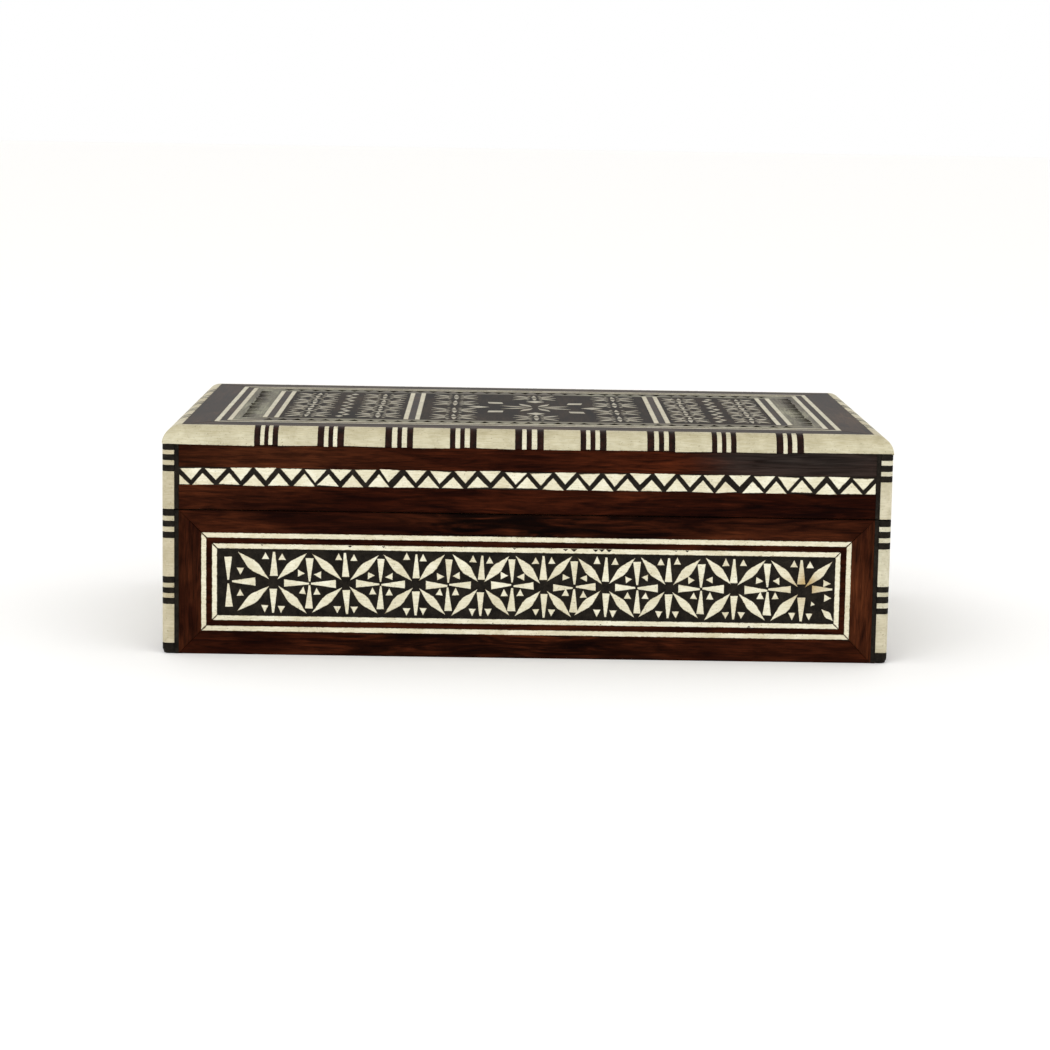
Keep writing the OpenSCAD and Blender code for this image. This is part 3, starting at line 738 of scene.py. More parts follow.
# %% Bone lines and fillets
fillets = []
for side in SIDES:
    node = f"base_{side}_stringing"
    face = reach_of(node, side)
    outer = rect(half_of(node, side), *band_of(node))
    made = strips(outer, shrink(outer, LINE), face - VENEER, face + 0.03 * MM, 0.12 * MM)
    second = shrink(outer, LINE + FILLET)
    made += strips(second, shrink(second, LINE), face - VENEER, face + 0.03 * MM, 0.12 * MM)
    for piece in made:
        edge_rim(piece, (0, -1, 0), 0.3 * MM)
        store(piece, "tint", rng.uniform(0.0, 0.2))
    finish(turn(join(made), side), f"base_{side}_bone_lines", bone, "base", "bone", node)
    first = shrink(outer, LINE)
    made = strips(first, shrink(first, FILLET), face - VENEER, face - 0.08 * MM, 0.03 * MM)
    for piece in made:
        store(piece, "tint", rng.uniform(0.1, 0.4))
    fillets.append(turn(join(made), side))
for axis, word in enumerate(("long", "short")):
    pair = join([fillets[axis], fillets[axis + 2]])
    finish(pair, f"base_fillets_{word}", rosewood[axis], "base", "rosewood", "base_fillets")

# %% [markdown]
# ## Inlay pieces
#
# Stars and zigzags are made of a few shapes: a petal, a wedge and a triangle. Each is made
# once, from a circle primitive with a few corners: the outline is shaped, extruded into a
# little block, and its top is inset. The inset's outline keeps rim 1 and its inside rim 0.


# %% Inlay shapes
INLAY = 1.0 * MM


def shape(corners, rim=0.28 * MM):
    """A small block with this outline in x and y, its top at z = 0 and its depth below."""
    bpy.ops.object.select_all(action="DESELECT")
    bpy.ops.mesh.primitive_circle_add(vertices=len(corners), radius=MM, fill_type="NGON")
    piece = bpy.context.object
    for vertex, (x, y) in zip(piece.data.vertices, corners):
        vertex.co = (x * MM, y * MM, -INLAY)
    activate(piece)
    bpy.ops.object.mode_set(mode="EDIT")
    bpy.ops.mesh.select_all(action="SELECT")
    bpy.ops.mesh.extrude_region_move(TRANSFORM_OT_translate={"value": (0, 0, INLAY - 0.06 * MM)})
    bpy.ops.mesh.inset(thickness=rim, depth=0.06 * MM)
    bpy.ops.object.mode_set(mode="OBJECT")
    activate(piece)
    bpy.ops.object.mode_set(mode="EDIT")
    bpy.ops.mesh.select_all(action="SELECT")
    bpy.ops.mesh.normals_make_consistent(inside=False)
    bpy.ops.object.mode_set(mode="OBJECT")
    store(piece, "rim", lambda co: 0.0 if co.z > -0.03 * MM else 1.0)
    return piece


def petal_outline(length, width, a=0.43, b=0.57):
    half = width / 2
    return [
        (0, 0), (length * a, -half), (length * b, -half),
        (length, 0), (length * b, half), (length * a, half),
    ]


def wedge_outline(start, end, w0, w1):
    return [(start, -w0 / 2), (end, -w1 / 2), (end, w1 / 2), (start, w0 / 2)]


def triangle_outline(base, height):
    return [(-base / 2, 0), (base / 2, 0), (0, height)]


def bone_tint():
    """Most bone is fresh, and some pieces are a little yellower."""
    return max(0.0, rng.gauss(0.06, 0.09))


def stamp(template, at, angle=0.0, size=(1.0, 1.0), start=0.0, wobble=0.12):
    """A copy of a template, laid at a place in mm with the small errors of hand work."""
    piece = twin(template)
    x = at[0] + rng.gauss(0, wobble)
    y = at[1] + rng.gauss(0, wobble)
    place = Matrix.Translation((x * MM, y * MM, 0))
    place = place @ Matrix.Rotation(math.radians(angle + rng.gauss(0, 10 * wobble)), 4, "Z")
    place = place @ Matrix.Translation((start * MM, 0, 0))
    place = place @ Matrix.Diagonal((size[0], size[1] * rng.uniform(0.9, 1.08), 1, 1))
    piece.data.transform(place)
    seed = Vector((rng.uniform(0, 90), rng.uniform(0, 90), 0))
    for vertex in piece.data.vertices:
        shift = noise.noise_vector(Vector((vertex.co.x, vertex.co.y, 0)) / (2.5 * MM) + seed)
        vertex.co.x += shift.x * wobble * MM
        vertex.co.y += shift.y * wobble * MM
    store(piece, "tint", bone_tint())
    return piece


def upright(piece, face, z):
    """Stands a flat layout up against the front face: its x stays, its y becomes height."""
    piece.rotation_euler = (math.pi / 2, 0, 0)
    piece.location = (0, -face, z)
    return settle(piece)


# %% [markdown]
# ## Stars of the base
#
# A star has four long petals on the diagonals, a wedge up and down with its broad end inside,
# a wedge to each side with its broad end inside, and two pairs of triangles. Between stars
# stands a cross of two wedges with their points inside and four chips. A petal is stretched
# to reach the middle between two stars, because the maker's stars stand unevenly.

# %% Star shapes
PETAL_START = 1.4
PETAL_WIDTH = 2.5
PETAL_RISE = 8.5
TIP_FREE = 0.7
WEDGE_FREE = 0.2
LEVEL_START = 2.9
petal = shape(petal_outline(10, PETAL_WIDTH))
upright_wedge = shape(wedge_outline(1.8, 8.6, 2.2, 0.6), 0.2 * MM)
level_wedge = shape(wedge_outline(0, 6, 2.3, 0.5), 0.2 * MM)
cross_wedge = shape(wedge_outline(0.6, 7.2, 0.5, 2.2), 0.2 * MM)
chip = shape(triangle_outline(2.1, 2.1), 0.25 * MM)


def petal_to(at, k, x, y):
    """A petal from a star's middle towards x, y."""
    length = math.hypot(x, y) - PETAL_START * k
    piece = stamp(petal, at, math.degrees(math.atan2(y, x)), (length / 10, k), PETAL_START * k)
    return store(piece, "tint", rng.uniform(0.0, 0.16))


def star_half(at, way, k, room, start, end):
    """Two petals and a level wedge on one side of a star's middle: way is 1 or -1."""
    reach = way * (room - TIP_FREE * k)
    made = [petal_to(at, k, reach, up * PETAL_RISE * k) for up in (1, -1)]
    made.append(stamp(level_wedge, at, 90 - 90 * way, ((end - start) / 6, k), start))
    return made


def star_middle(at, k):
    """The wedges up and down, and the four triangles beside their points."""
    made = [stamp(upright_wedge, at, angle, (k, k)) for angle in (90, 270)]
    for x in (-2.3 * k, 2.3 * k):
        made.append(stamp(chip, (at[0] + x, at[1] + 6.5 * k), 0, (k, k)))
        made.append(stamp(chip, (at[0] + x, at[1] - 6.5 * k), 180, (k, k)))
    return made


def cross(at, k):
    return [stamp(cross_wedge, at, angle, (k, k)) for angle in (90, 270)]


def chips_beside(at, k, way):
    """Two chips beside a cross. The upper one points at its upright and the lower one up."""
    upper = (at[0] + way * 3.3 * k, at[1] + 2.5 * k)
    lower = (at[0] + way * 2.2 * k, at[1] - 2.95 * k)
    return [stamp(chip, upper, 90 * way, (k, k), 0, 0.2), stamp(chip, lower, 0, (k, k), 0, 0.2)]


# %% [markdown]
# ### Rows of stars
#
# The stars were set out by eye: wide apart at the left end and closer further on. A sway made
# of half a wave and a whole wave follows that. The left end closes with a bare cross, and the
# right end with two chips that point outwards. Age shows on the front: the last star is
# stained and has lost most of one petal, and the inner bone line is chipped here and there.

# %% Star rows
STAR_HEIGHT = 17.6
STAR_PITCH = 18.42
STAR_FREE = 1.3
STAR_MARGINS = 22
STAR_LEFT_SHARE = 0.63
STAR_SWAY = (0.2, 0.19)
END_CROSS = 12.7
END_ROOM = 10.6
STAIN_AWAY = 1.2
STAIN_DEPTH = 1.3
STAIN_FADE = 4.5 * MM
WORN_RUN = (10.8, 13.2, 19.2, 21.0, 23.0)
CHANCE_NICKS = 14


def star_places(half, k):
    """Where the stars of a row stand, in mm along a side."""
    steps = math.floor((2 * half - STAR_MARGINS * k) / (STAR_PITCH * k))
    first = -half + (2 * half - steps * STAR_PITCH * k) * STAR_LEFT_SHARE
    places = []
    for i in range(steps + 1):
        turn_of = math.pi * i / steps
        sway = STAR_SWAY[0] * math.sin(turn_of) + STAR_SWAY[1] * math.sin(2 * turn_of)
        places.append(first + k * (i * STAR_PITCH + steps * sway))
    return places


def star_row(half, k, broken=False):
    xs = star_places(half, k)
    made = []
    for x in xs:
        made += star_middle((x, 0), k)
    for a, b in zip(xs, xs[1:]):
        room = (b - a) / 2
        made += star_half((a, 0), 1, k, room, LEVEL_START * k, room - WEDGE_FREE * k)
        made += star_half((b, 0), -1, k, room, LEVEL_START * k, room - WEDGE_FREE * k)
        made += cross((a + room, 0), k)
        made += chips_beside((a + room, 0), k, 1)
        made += chips_beside((a + room, 0), k, -1)
    made += star_half((xs[0], 0), -1, k, END_ROOM * k, 5.1 * k, 11.7 * k)
    left = xs[0] - END_CROSS * k
    made += cross((left, 0), k)
    made.append(stamp(chip, (left + 3.4 * k, 4 * k), 180, (k, k)))
    made.append(stamp(chip, (left + 3.4 * k, -4 * k), 0, (k, k)))
    room = half - xs[-1]
    last = star_half((xs[-1], 0), 1, k, room, LEVEL_START * k, room - TIP_FREE * k)
    if broken:
        bpy.data.objects.remove(last.pop(1))
        last.append(stamp(petal, (xs[-1], 0), -45, (0.46, 0.75 * k), 7.6 * k))
        last.append(stamp(chip, (xs[-1] + 3.3, -4.4), 20, (0.7, 0.6)))
    made += last
    for y in (-2.15, 2.15):
        made.append(stamp(chip, (half - 3 * k, y * k), -90, (k, k)))
    return join(made)


def nicks(half, rise):
    """Places where bone has chipped off the inner line and black filler shows: a few by chance
    and a worn run right of the middle."""
    worn = [(x, 1) for x in WORN_RUN]
    chance = [(rng.uniform(-half, half), rng.choice((-1, 1))) for _ in range(CHANCE_NICKS)]
    made = []
    for x, up in worn + chance:
        size = rng.uniform(1.0, 1.5) if len(made) < len(worn) else rng.uniform(0.35, 0.75)
        y = up * (rise + (LINE / MM - 0.1 if rng.random() < 0.6 or up > 0 else 0.1))
        made.append(stamp(chip, (x, y), 180 if up > 0 else 0, (size, 0.42 * size), wobble=0.05))
    return join(made)


for side in SIDES:
    node = f"base_{side}_field"
    half = half_of(node, side)
    low, high = band_of(node)
    face = reach_of(node, side)
    k = ((high - low) / MM - STAR_FREE) / STAR_HEIGHT
    stars = star_row(half / MM, k, broken=side == "front")
    if side == "front":
        spot = Vector((star_places(half / MM, k)[-1] + STAIN_AWAY, STAIN_AWAY, 0)) * MM
        tints = stars.data.attributes["tint"].data
        for vertex, item in zip(stars.data.vertices, tints):
            away = math.hypot(vertex.co.x - spot.x, vertex.co.y - spot.y)
            item.value = max(item.value, STAIN_DEPTH - away / STAIN_FADE)
    upright(stars, face + 0.03 * MM, (low + high) / 2)
    finish(turn(stars, side), f"base_{side}_star_inlay", bone, "base", "bone", f"base_{side}_stars")
    field = slab((-half, -face + 0.04 * MM, low), (half, -face + VENEER, high))
    if side == "front":
        gaps = nicks(half / MM, (high - low) / 2 / MM)
        field = join([field, upright(gaps, face + 0.05 * MM, (low + high) / 2)])
    finish(turn(field, side), f"base_{side}_ebony", ebony, "base", "ebony", node)

# %% [markdown]
# ## Lid sides
#
# Each side of the lid has a strip of wood above and below a black band, and bone triangles in
# the band leave a black zigzag. The upper triangles point down and the lower ones up. On the
# front, the upper strip's wood is lighter and greyer at the left end, a painted reflection, and
# smoky at the right.

# %% Lid sides
ZIG_TRIANGLE = 2.9
ZIG_STRETCH = (1.04, 1.2)
ZIG_GAP = 1.1 * MM
ZIG_PITCH = 6.85 * MM
zig_low, zig_high = band_of("lid_zigzag_ebony")
made_bone = []
made_ebony = []
for side in SIDES:
    node = f"lid_{side}_apron"
    half = half_of(node, side)
    face = reach_of(node, side)
    low, high = band_of("lid_front_apron")
    upper = slab((-half, -face, zig_high), (half, -face + VENEER, high))
    lower = slab((-half, -face, low), (half, -face + VENEER, zig_low))
    for piece in (upper, lower):
        divide_along(piece)
        soften(piece, 0.12 * MM)
        store(piece, "tint", rng.uniform(0.0, 0.25))
    if side == "front":
        # Painted reflection: the upper strip is made lighter and greyer towards its left end.
        store(upper, "tint", lambda co: 0.05 + 0.95 * (1 - smooth_step(co.x, -75 * MM, -20 * MM)))
        store(upper, "smoke", lambda co: 0.8 * smooth_step(co.x, 42 * MM, 60 * MM))
        store(lower, "tint", lambda co: 0.35 * (1 - smooth_step(co.x, -85 * MM, -40 * MM)))
    turn(upper, side)
    turn(lower, side)
    if side == "back":
        plane_behind(lower, low, -1)
        relieve(lower)
    wood_here = rosewood[0 if is_long(side) else 1]
    finish(join([upper, lower]), f"lid_{side}_veneer", wood_here, "lid", "rosewood", node)
    ground = slab((-half, -face + 0.05 * MM, zig_low), (half, -face + VENEER, zig_high))
    made_ebony.append(turn(ground, side))

    count = round(2 * half / ZIG_PITCH)
    step = 2 * half / count
    base = (step - ZIG_GAP) / MM
    whole = shape(triangle_outline(base, ZIG_TRIANGLE), 0.25 * MM)
    left_half = shape([(0, 0), (base / 2, 0), (0, ZIG_TRIANGLE)], 0.2 * MM)
    right_half = shape([(-base / 2, 0), (0, 0), (0, ZIG_TRIANGLE)], 0.2 * MM)
    height = (zig_high - zig_low) / MM
    end = half / MM
    pitch = step / MM
    made = [
        stamp(left_half, (-end + 0.2, 0.15), wobble=0.03),
        stamp(right_half, (end - 0.2, 0.15), wobble=0.03),
    ]
    for i in range(count):
        down = (-end + (i + 0.5) * pitch, height - 0.12)
        made.append(stamp(whole, down, 180, ZIG_STRETCH, wobble=0.14))
        if i:
            up = (-end + i * pitch, 0.12)
            made.append(stamp(whole, up, 0, ZIG_STRETCH, wobble=0.14))
    made_bone.append(turn(upright(join(made), face + 0.03 * MM, zig_low), side))
    for template in (whole, left_half, right_half):
        bpy.data.objects.remove(template)
finish(join(made_bone), "lid_zigzag_triangles", bone, "lid", "bone", "lid_zigzag_bone")
finish(join(made_ebony), "lid_zigzag_ground", ebony, "lid", "ebony", "lid_zigzag_ebony")

# %% [markdown]
# ## Banded sticks
#
# The moulding and the posts come from sticks glued up from slices. The makers saw slices off
# long bars, so a slice is made here the same way: a bar with the right section is copied and
# sawn at both ends. A line of edges just inside each end lets the rim darken the glue line.


# %% Sticks
RIM = 0.22 * MM
SLICE_GAP = 0.02 * MM


def slice_bar(bar, axis, start, end, tint):
    """The part of a bar between two places along an axis, as a piece of its own."""
    piece = twin(bar)
    along = Vector([float(i == axis) for i in range(3)])
    saw(piece, along * (end - SLICE_GAP), along)
    saw(piece, along * (start + SLICE_GAP), -along)
    if end - start > 4 * RIM:
        score(piece, along * (end - RIM), along)
        score(piece, along * (start + RIM), along)
    middle = (start + end) / 2
    reach = (end - start) / 2 - RIM * 0.5
    store(piece, "rim", lambda co: 0.75 if abs(co[axis] - middle) > reach else 0.0)
    store(piece, "tint", tint)
    return piece


def spans_of(marks, kinds):
    """Pairs up neighbouring marks and sorts them by kind: 0 is bone and 1 is ebony."""
    pairs = list(zip(marks[:-1], marks[1:], kinds))
    return [(a, b) for a, b, kind in pairs if kind == 0], [(a, b) for a, b, kind in pairs if kind == 1]


# %% [markdown]
# ### Edge moulding
#
# The bar is a cylinder sawn down to a quarter. Long bone blocks meet at the lid's corners in
# mitres, and between the blocks come five slices: black, white, black, white, black.

# %% Edge moulding
MOULD_SLICES = [width * MM for width in (1.65, 1.4, 1.2, 1.4, 1.65)]
MOULD_BLOCK = 10.9 * MM
MOULD_CORNER = 24.5 * MM
SLICE_AGE = 0.0
BLOCK_AGE = 0.33
mould_low, mould_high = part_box("moulding_bone")
MOULD_R = mould_high.z - mould_low.z
GROUP = sum(MOULD_SLICES)


def moulding_marks(length):
    """Places of the joints along a side, and what lies between them."""
    step = GROUP + MOULD_BLOCK
    count = round((length + MOULD_BLOCK - 2 * MOULD_CORNER) / step)
    corner = (length - count * step + MOULD_BLOCK) / 2
    marks = [-length / 2]
    kinds = []
    at = -length / 2 + corner
    for _ in range(count):
        drift = rng.gauss(0, 0.25) * MM
        marks.append(at + drift)
        kinds.append(0)
        for j, width in enumerate(MOULD_SLICES):
            marks.append(marks[-1] + width * rng.uniform(0.84, 1.14))
            kinds.append(1 if j % 2 == 0 else 0)
        at += step
    marks.append(length / 2)
    kinds.append(0)
    return marks, kinds


def handwork_and_painted_shade(piece, age):
    """Lets the lower edge wander, ages the bone, and paints shade at the upper and lower edges."""
    drop = rng.uniform(-0.22, 0.16) * MM
    slope = rng.uniform(-0.025, 0.025)
    middle = sum((v.co.x for v in piece.data.vertices), 0.0) / len(piece.data.vertices)
    rims = piece.data.attributes["rim"].data
    tints = piece.data.attributes["tint"].data
    age += bone_tint()
    for vertex, item, tint in zip(piece.data.vertices, rims, tints):
        up = (vertex.co.z - mould_low.z) / MOULD_R
        # Painted shade: the bone grows tanner and its rim darker towards the top of the rounded
        # moulding, which turns away from the light. A dark line along the lower edge stands for the
        # glue joint and the shade under the moulding.
        tint.value = age + 0.4 * max(0.0, up - 0.35)
        item.value = max(item.value, 0.5 * max(0.0, up - 0.72) / 0.28, 0.7 if up < 0.02 else 0.0)
        if up < 0.35:
            vertex.co.z += (drop + slope * (vertex.co.x - middle)) * (1 - up / 0.35)
    return piece


made_bone = []
made_ebony = []
for side in SIDES:
    half = half_of("moulding_bone", side)
    out = reach_of("moulding_bone", side)
    bpy.ops.object.select_all(action="DESELECT")
    bpy.ops.mesh.primitive_cylinder_add(
        vertices=64, radius=MOULD_R, depth=2 * half,
        location=(0, -out + MOULD_R, mould_low.z), rotation=(0, math.pi / 2, 0),
    )
    bar = settle(bpy.context.object)
    saw(bar, (0, 0, mould_low.z), (0, 0, -1))
    saw(bar, (0, -out + MOULD_R, 0), (0, 1, 0))
    for x in (-half, half):
        saw(bar, (x * (1 - 0.0001), -out, 0), (math.copysign(1, x), 1, 0))
    bones, ebonies = spans_of(*moulding_marks(2 * half))
    for a, b in bones:
        age = SLICE_AGE if b - a < 3 * MM else BLOCK_AGE
        made_bone.append(handwork_and_painted_shade(slice_bar(bar, 0, a, b, 0.0), age))
        turn(made_bone[-1], side)
    for a, b in ebonies:
        made_ebony.append(turn(slice_bar(bar, 0, a, b, 0.0), side))
    bpy.data.objects.remove(bar)
white = soften(join(made_bone), 0.1 * MM)
black = soften(join(made_ebony), 0.08 * MM)
finish(white, "moulding_bone_slices", old_bone, "lid", "bone", "moulding_bone")
finish(black, "moulding_ebony_slices", slice_ebony, "lid", "ebony", "moulding_ebony")

# %% [markdown]
# ### Corner posts
#
# A post is a square stick with its outer edge rounded. The base's posts end in an ebony foot,
# whose outer corner is worn round. The two on the left are a little yellower.

# %% Corner posts
POST_BLACK = 1.7 * MM
SLICE_WHITE = 1.4 * MM
POST_BLOCK = 10.8 * MM
POST_ROUND = 1.6 * MM
POST_WIDTH = 3.4 * MM
FOOT = 3.0 * MM
LEFT_POST_AGE = 0.22


def post_marks(low, high, foot):
    """Joints of a post from the bottom up, and what lies between them."""
    group = 3 * POST_BLACK + 2 * SLICE_WHITE
    count = max(1, round((high - low - foot) / (group + POST_BLOCK)))
    step = (high - low - foot) / count
    marks = [high]
    kinds = []
    for i in range(count):
        marks[-1] = high - i * step
        for j, width in enumerate((POST_BLACK, SLICE_WHITE, POST_BLACK, SLICE_WHITE, POST_BLACK)):
            marks.append(marks[-1] - width * rng.uniform(0.9, 1.08))
            kinds.append(1 if j % 2 == 0 else 0)
        marks.append(high - (i + 1) * step)
        kinds.append(0)
    if foot:
        marks.append(low)
        kinds.append(1)
    return marks[::-1], kinds[::-1]


def post_bar(corner_x, corner_y, low, high):
    """A square stick at one corner of the box, with its outer edge rounded."""
    xs = sorted((corner_x, corner_x - math.copysign(POST_WIDTH, corner_x)))
    ys = sorted((corner_y, corner_y - math.copysign(POST_WIDTH, corner_y)))
    bar = slab((xs[0], ys[0], low), (xs[1], ys[1], high))
    activate(bar)
    outer = {
        v.index for v in bar.data.vertices
        if abs(v.co.x - corner_x) < 1e-6 and abs(v.co.y - corner_y) < 1e-6
    }
    for edge in bar.data.edges:
        edge.select = all(i in outer for i in edge.vertices)
    for vertex in bar.data.vertices:
        vertex.select = vertex.index in outer
    for polygon in bar.data.polygons:
        polygon.select = False
    bpy.ops.object.mode_set(mode="EDIT")
    bpy.ops.mesh.select_mode(type="EDGE")
    bpy.ops.mesh.bevel(offset=POST_ROUND, segments=6)
    bpy.ops.object.mode_set(mode="OBJECT")
    return bar


def worn_foot(piece, corner):
    """Rounds the foot's outer corner, as years of sliding do."""
    for height in (1.3, 0.5):
        score(piece, corner + Vector((0, 0, height * MM)), (0, 0, 1))
    middle_x = corner.x - math.copysign(POST_WIDTH, corner.x)
    middle_y = corner.y - math.copysign(POST_WIDTH, corner.y)
    for vertex in piece.data.vertices:
        up = (vertex.co.z - corner.z) / MM
        if up < 1.2:
            inward = 0.32 if up < 0.2 else 0.1
            vertex.co.x += (middle_x - vertex.co.x) * inward
            vertex.co.y += (middle_y - vertex.co.y) * inward


for body, node, foot in (("base", "base_post_ebony", FOOT), ("lid", "lid_post_ebony", 0.0)):
    low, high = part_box(node)
    if body == "lid":
        low.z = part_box("lid_front_apron")[0].z
    made_bone = []
    made_ebony = []
    for x in (low.x, high.x):
        for y in (low.y, high.y):
            bar = post_bar(x, y, low.z, high.z)
            if y > 0:
                plane_behind(bar, high.z if body == "base" else low.z, 1 if body == "base" else -1)
            bones, ebonies = spans_of(*post_marks(low.z, high.z, foot))
            aged = LEFT_POST_AGE if x < 0 else 0.0
            made_bone += [slice_bar(bar, 2, a, b, bone_tint() + aged) for a, b in bones]
            slices = [slice_bar(bar, 2, a, b, 0.0) for a, b in ebonies]
            if foot:
                worn_foot(slices[0], Vector((x, y, low.z)))
            made_ebony += slices
            bpy.data.objects.remove(bar)
    bone_node = node.replace("ebony", "bone")
    white = soften(join(made_bone), 0.1 * MM)
    black = soften(join(made_ebony), 0.08 * MM)
    finish(white, f"{body}_post_bone_slices", post_bone, body, "bone", bone_node)
    finish(black, f"{body}_post_ebony_slices", ebony, body, "ebony", node)

# %% [markdown]
# ## The top
#
# The top is veneered like the sides: a plain mitred border, two bone lines with a dark one
# between, a band of dark triangles on pale wood, and three panels parted by pairs of lines.

# %% Top border, lines and band
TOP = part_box("top_border")[1].z
TOP_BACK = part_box("top_border")[0].z


def flat_rect(node):
    low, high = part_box(node)
    return [low.x, low.y, high.x, high.y]


def flat_strips(o, i, proud, gap):
    """Four mitred strips on the top, proud of it by a hair."""
    made = strips(o, i, 0, VENEER, gap)
    laid = []
    for piece in made:
        piece.rotation_euler = (-math.pi / 2, 0, 0)
        settle(piece)
        piece.scale = (1, -1, 1)
        piece.location = (0, 0, TOP_BACK + proud)
        settle(piece)
        activate(piece)
        bpy.ops.object.mode_set(mode="EDIT")
        bpy.ops.mesh.select_all(action="SELECT")
        bpy.ops.mesh.normals_make_consistent(inside=False)
        bpy.ops.object.mode_set(mode="OBJECT")
        laid.append(piece)
    return laid


border_out = flat_rect("top_border")
line_a = flat_rect("top_lines")
dark = flat_rect("top_dark_lines")
band = flat_rect("top_band")
line_w = dark[0] - line_a[0]
dark_w = band[0] - line_w - dark[0]
line_b = shrink(dark, dark_w)
panels = flat_rect("top_panels")
panels[0] -= 2 * line_w + dark_w
panels[2] += 2 * line_w + dark_w
made = flat_strips(border_out, line_a, 0, 0.07 * MM)
for piece in made:
    soften(piece, 0.12 * MM)
    store(piece, "tint", rng.uniform(0.2, 0.6))
finish(join([made[0], made[2]]), "top_border_long", top_wood[0], "lid", "rosewood", "top_border")
finish(join([made[1], made[3]]), "top_border_short", top_wood[1], "lid", "rosewood", "top_border")
print("top panels, in mm:", [round(v / MM, 1) for v in panels])

made = flat_strips(line_a, dark, 0.02 * MM, 0.12 * MM)
made += flat_strips(line_b, band, 0.02 * MM, 0.12 * MM)
CENTRE_W = 67 * MM
CENTRE_SHIFT = 2.6 * MM
PAIR_W = 2 * line_w + dark_w
centre_left = CENTRE_SHIFT - CENTRE_W / 2
centre_right = CENTRE_SHIFT + CENTRE_W / 2
pairs = [panels[0], centre_left - PAIR_W, centre_right, panels[2] - PAIR_W]
for x in pairs:
    for offset in (0, line_w + dark_w):
        start = x + offset
        made.append(slab((start, panels[1], TOP_BACK), (start + line_w, panels[3], TOP + 0.02 * MM)))
for piece in made:
    edge_rim(piece, (0, 0, 1), 0.3 * MM)
    store(piece, "tint", rng.uniform(0.0, 0.25))
finish(join(made), "top_bone_lines", top_line_bone, "lid", "bone", "top_lines")
made = flat_strips(dark, line_b, -0.05 * MM, 0.02 * MM)
for x in pairs:
    start = x + line_w
    made.append(slab((start, panels[1], TOP_BACK), (start + dark_w, panels[3], TOP - 0.05 * MM)))
finish(join(made), "top_dark_strips", top_wood[0], "lid", "ebony", "top_dark_lines")

# %% [markdown]
# ### Triangle band
#
# The band is pale wood with a row of black triangles on each side, all pointing inwards. One
# triangle is made and stamped, and each side's run is turned to its place.

# %% Top band
made = flat_strips(band, panels, -0.04 * MM, 0.05 * MM)
for piece in made:
    store(piece, "tint", rng.uniform(0.0, 0.2))
finish(join([made[0], made[2]]), "top_band_long", pale_wood[0], "lid", "pale_wood", "top_band")
finish(join([made[1], made[3]]), "top_band_short", pale_wood[1], "lid", "pale_wood", "top_band")
BAND_PITCH = 4.05 * MM
BAND_W = panels[1] - band[1]
tooth = shape(triangle_outline(3.2, 4.2), 0.25 * MM)
made = []
for side in SIDES:
    long_run = is_long(side)
    length = (band[2] - band[0]) if long_run else (band[3] - band[1])
    out = band[3] if long_run else band[2]
    count = round((length - 2 * BAND_W) / BAND_PITCH)
    step = (length - 2 * BAND_W) / count
    run = []
    for i in range(count):
        at = ((-length / 2 + BAND_W + (i + 0.5) * step) / MM, -out / MM + 1.8)
        run.append(stamp(tooth, at, 0, wobble=0.2))
    run = join(run)
    run.location = (0, 0, TOP)
    settle(run)
    made.append(turn(run, side))
finish(join(made), "top_band_teeth", top_ebony, "lid", "ebony", "top_band_triangles")
bpy.data.objects.remove(tooth)

# %% [markdown]
# ### Panels of the top
#
# Small stars of the same cut fill the panels: two columns in each side panel with a zigzag
# column of lozenges between them, and rows at both sides of the centre star, whose eight
# petals have eight kites round them.

# %% Top panels
TILE_K = 0.78
TILE_STEP = 18
TILE_ROOM = 7.4
TILE_EDGE = 9.5
ZIGZAG_STEP = 4.8
ZIGZAG_HALF = 2.6
edges = [pairs[0] + PAIR_W, pairs[1], pairs[1] + PAIR_W, pairs[2], pairs[2] + PAIR_W, pairs[3]]
made = []
for a, b in ((0, 1), (2, 3), (4, 5)):
    piece = slab((edges[a], panels[1], TOP_BACK), (edges[b], panels[3], TOP - 0.04 * MM))
    store(piece, "tint", rng.uniform(0.1, 0.3))
    made.append(piece)
finish(join(made), "top_panel_grounds", panel_wood, "lid", "rosewood", "top_panels")
lozenge = shape([(-1.3, 0), (0, -2.2), (1.3, 0), (0, 2.2)], 0.2 * MM)
templates = [petal, upright_wedge, level_wedge, cross_wedge, chip, lozenge]


def tile(at, room):
    """A small star."""
    start = LEVEL_START * TILE_K
    end = room - TIP_FREE * TILE_K
    right = star_half(at, 1, TILE_K, room, start, end)
    left = star_half(at, -1, TILE_K, room, start, end)
    return right + left + star_middle(at, TILE_K)


def side_mosaic(middle, half):
    """Two columns of small stars and the zigzag column between them, in mm."""
    made = []
    count = math.floor(2 * depth / ZIGZAG_STEP) - 1
    for j in range(count):
        at = (middle + (j % 2 - 0.5) * 1.4, (j - (count - 1) / 2) * ZIGZAG_STEP)
        made.append(stamp(lozenge, at))
    inner = ZIGZAG_HALF
    rows = math.floor(2 * depth / TILE_STEP)
    for x in (middle - (half + inner) / 2, middle + (half + inner) / 2):
        for j in range(rows):
            made += tile((x, (j - (rows - 1) / 2) * TILE_STEP), (half - inner) / 2 - 0.3)
        for j in range(1, rows):
            y = (j - rows / 2) * TILE_STEP
            made.append(stamp(lozenge, (x, y), 90))
            made.append(stamp(chip, (x + 5.2, y), 90))
            made.append(stamp(chip, (x - 5.2, y), -90))
    return made


depth = panels[3] / MM
made = []
for a, b in ((0, 1), (4, 5)):
    made += side_mosaic((edges[a] + edges[b]) / 2 / MM, (edges[b] - edges[a]) / 2 / MM)
mosaic = join(made)
mosaic.location = (0, 0, TOP)
finish(settle(mosaic), "top_side_mosaics", top_bone, "lid", "bone", "top_side_mosaic")

# %% [markdown]
# ### Centre star
#
# Eight petals and eight kites are stamped round one point, 45 degrees apart. Small stars fill
# the room at both sides, from the ends of the panel inwards.

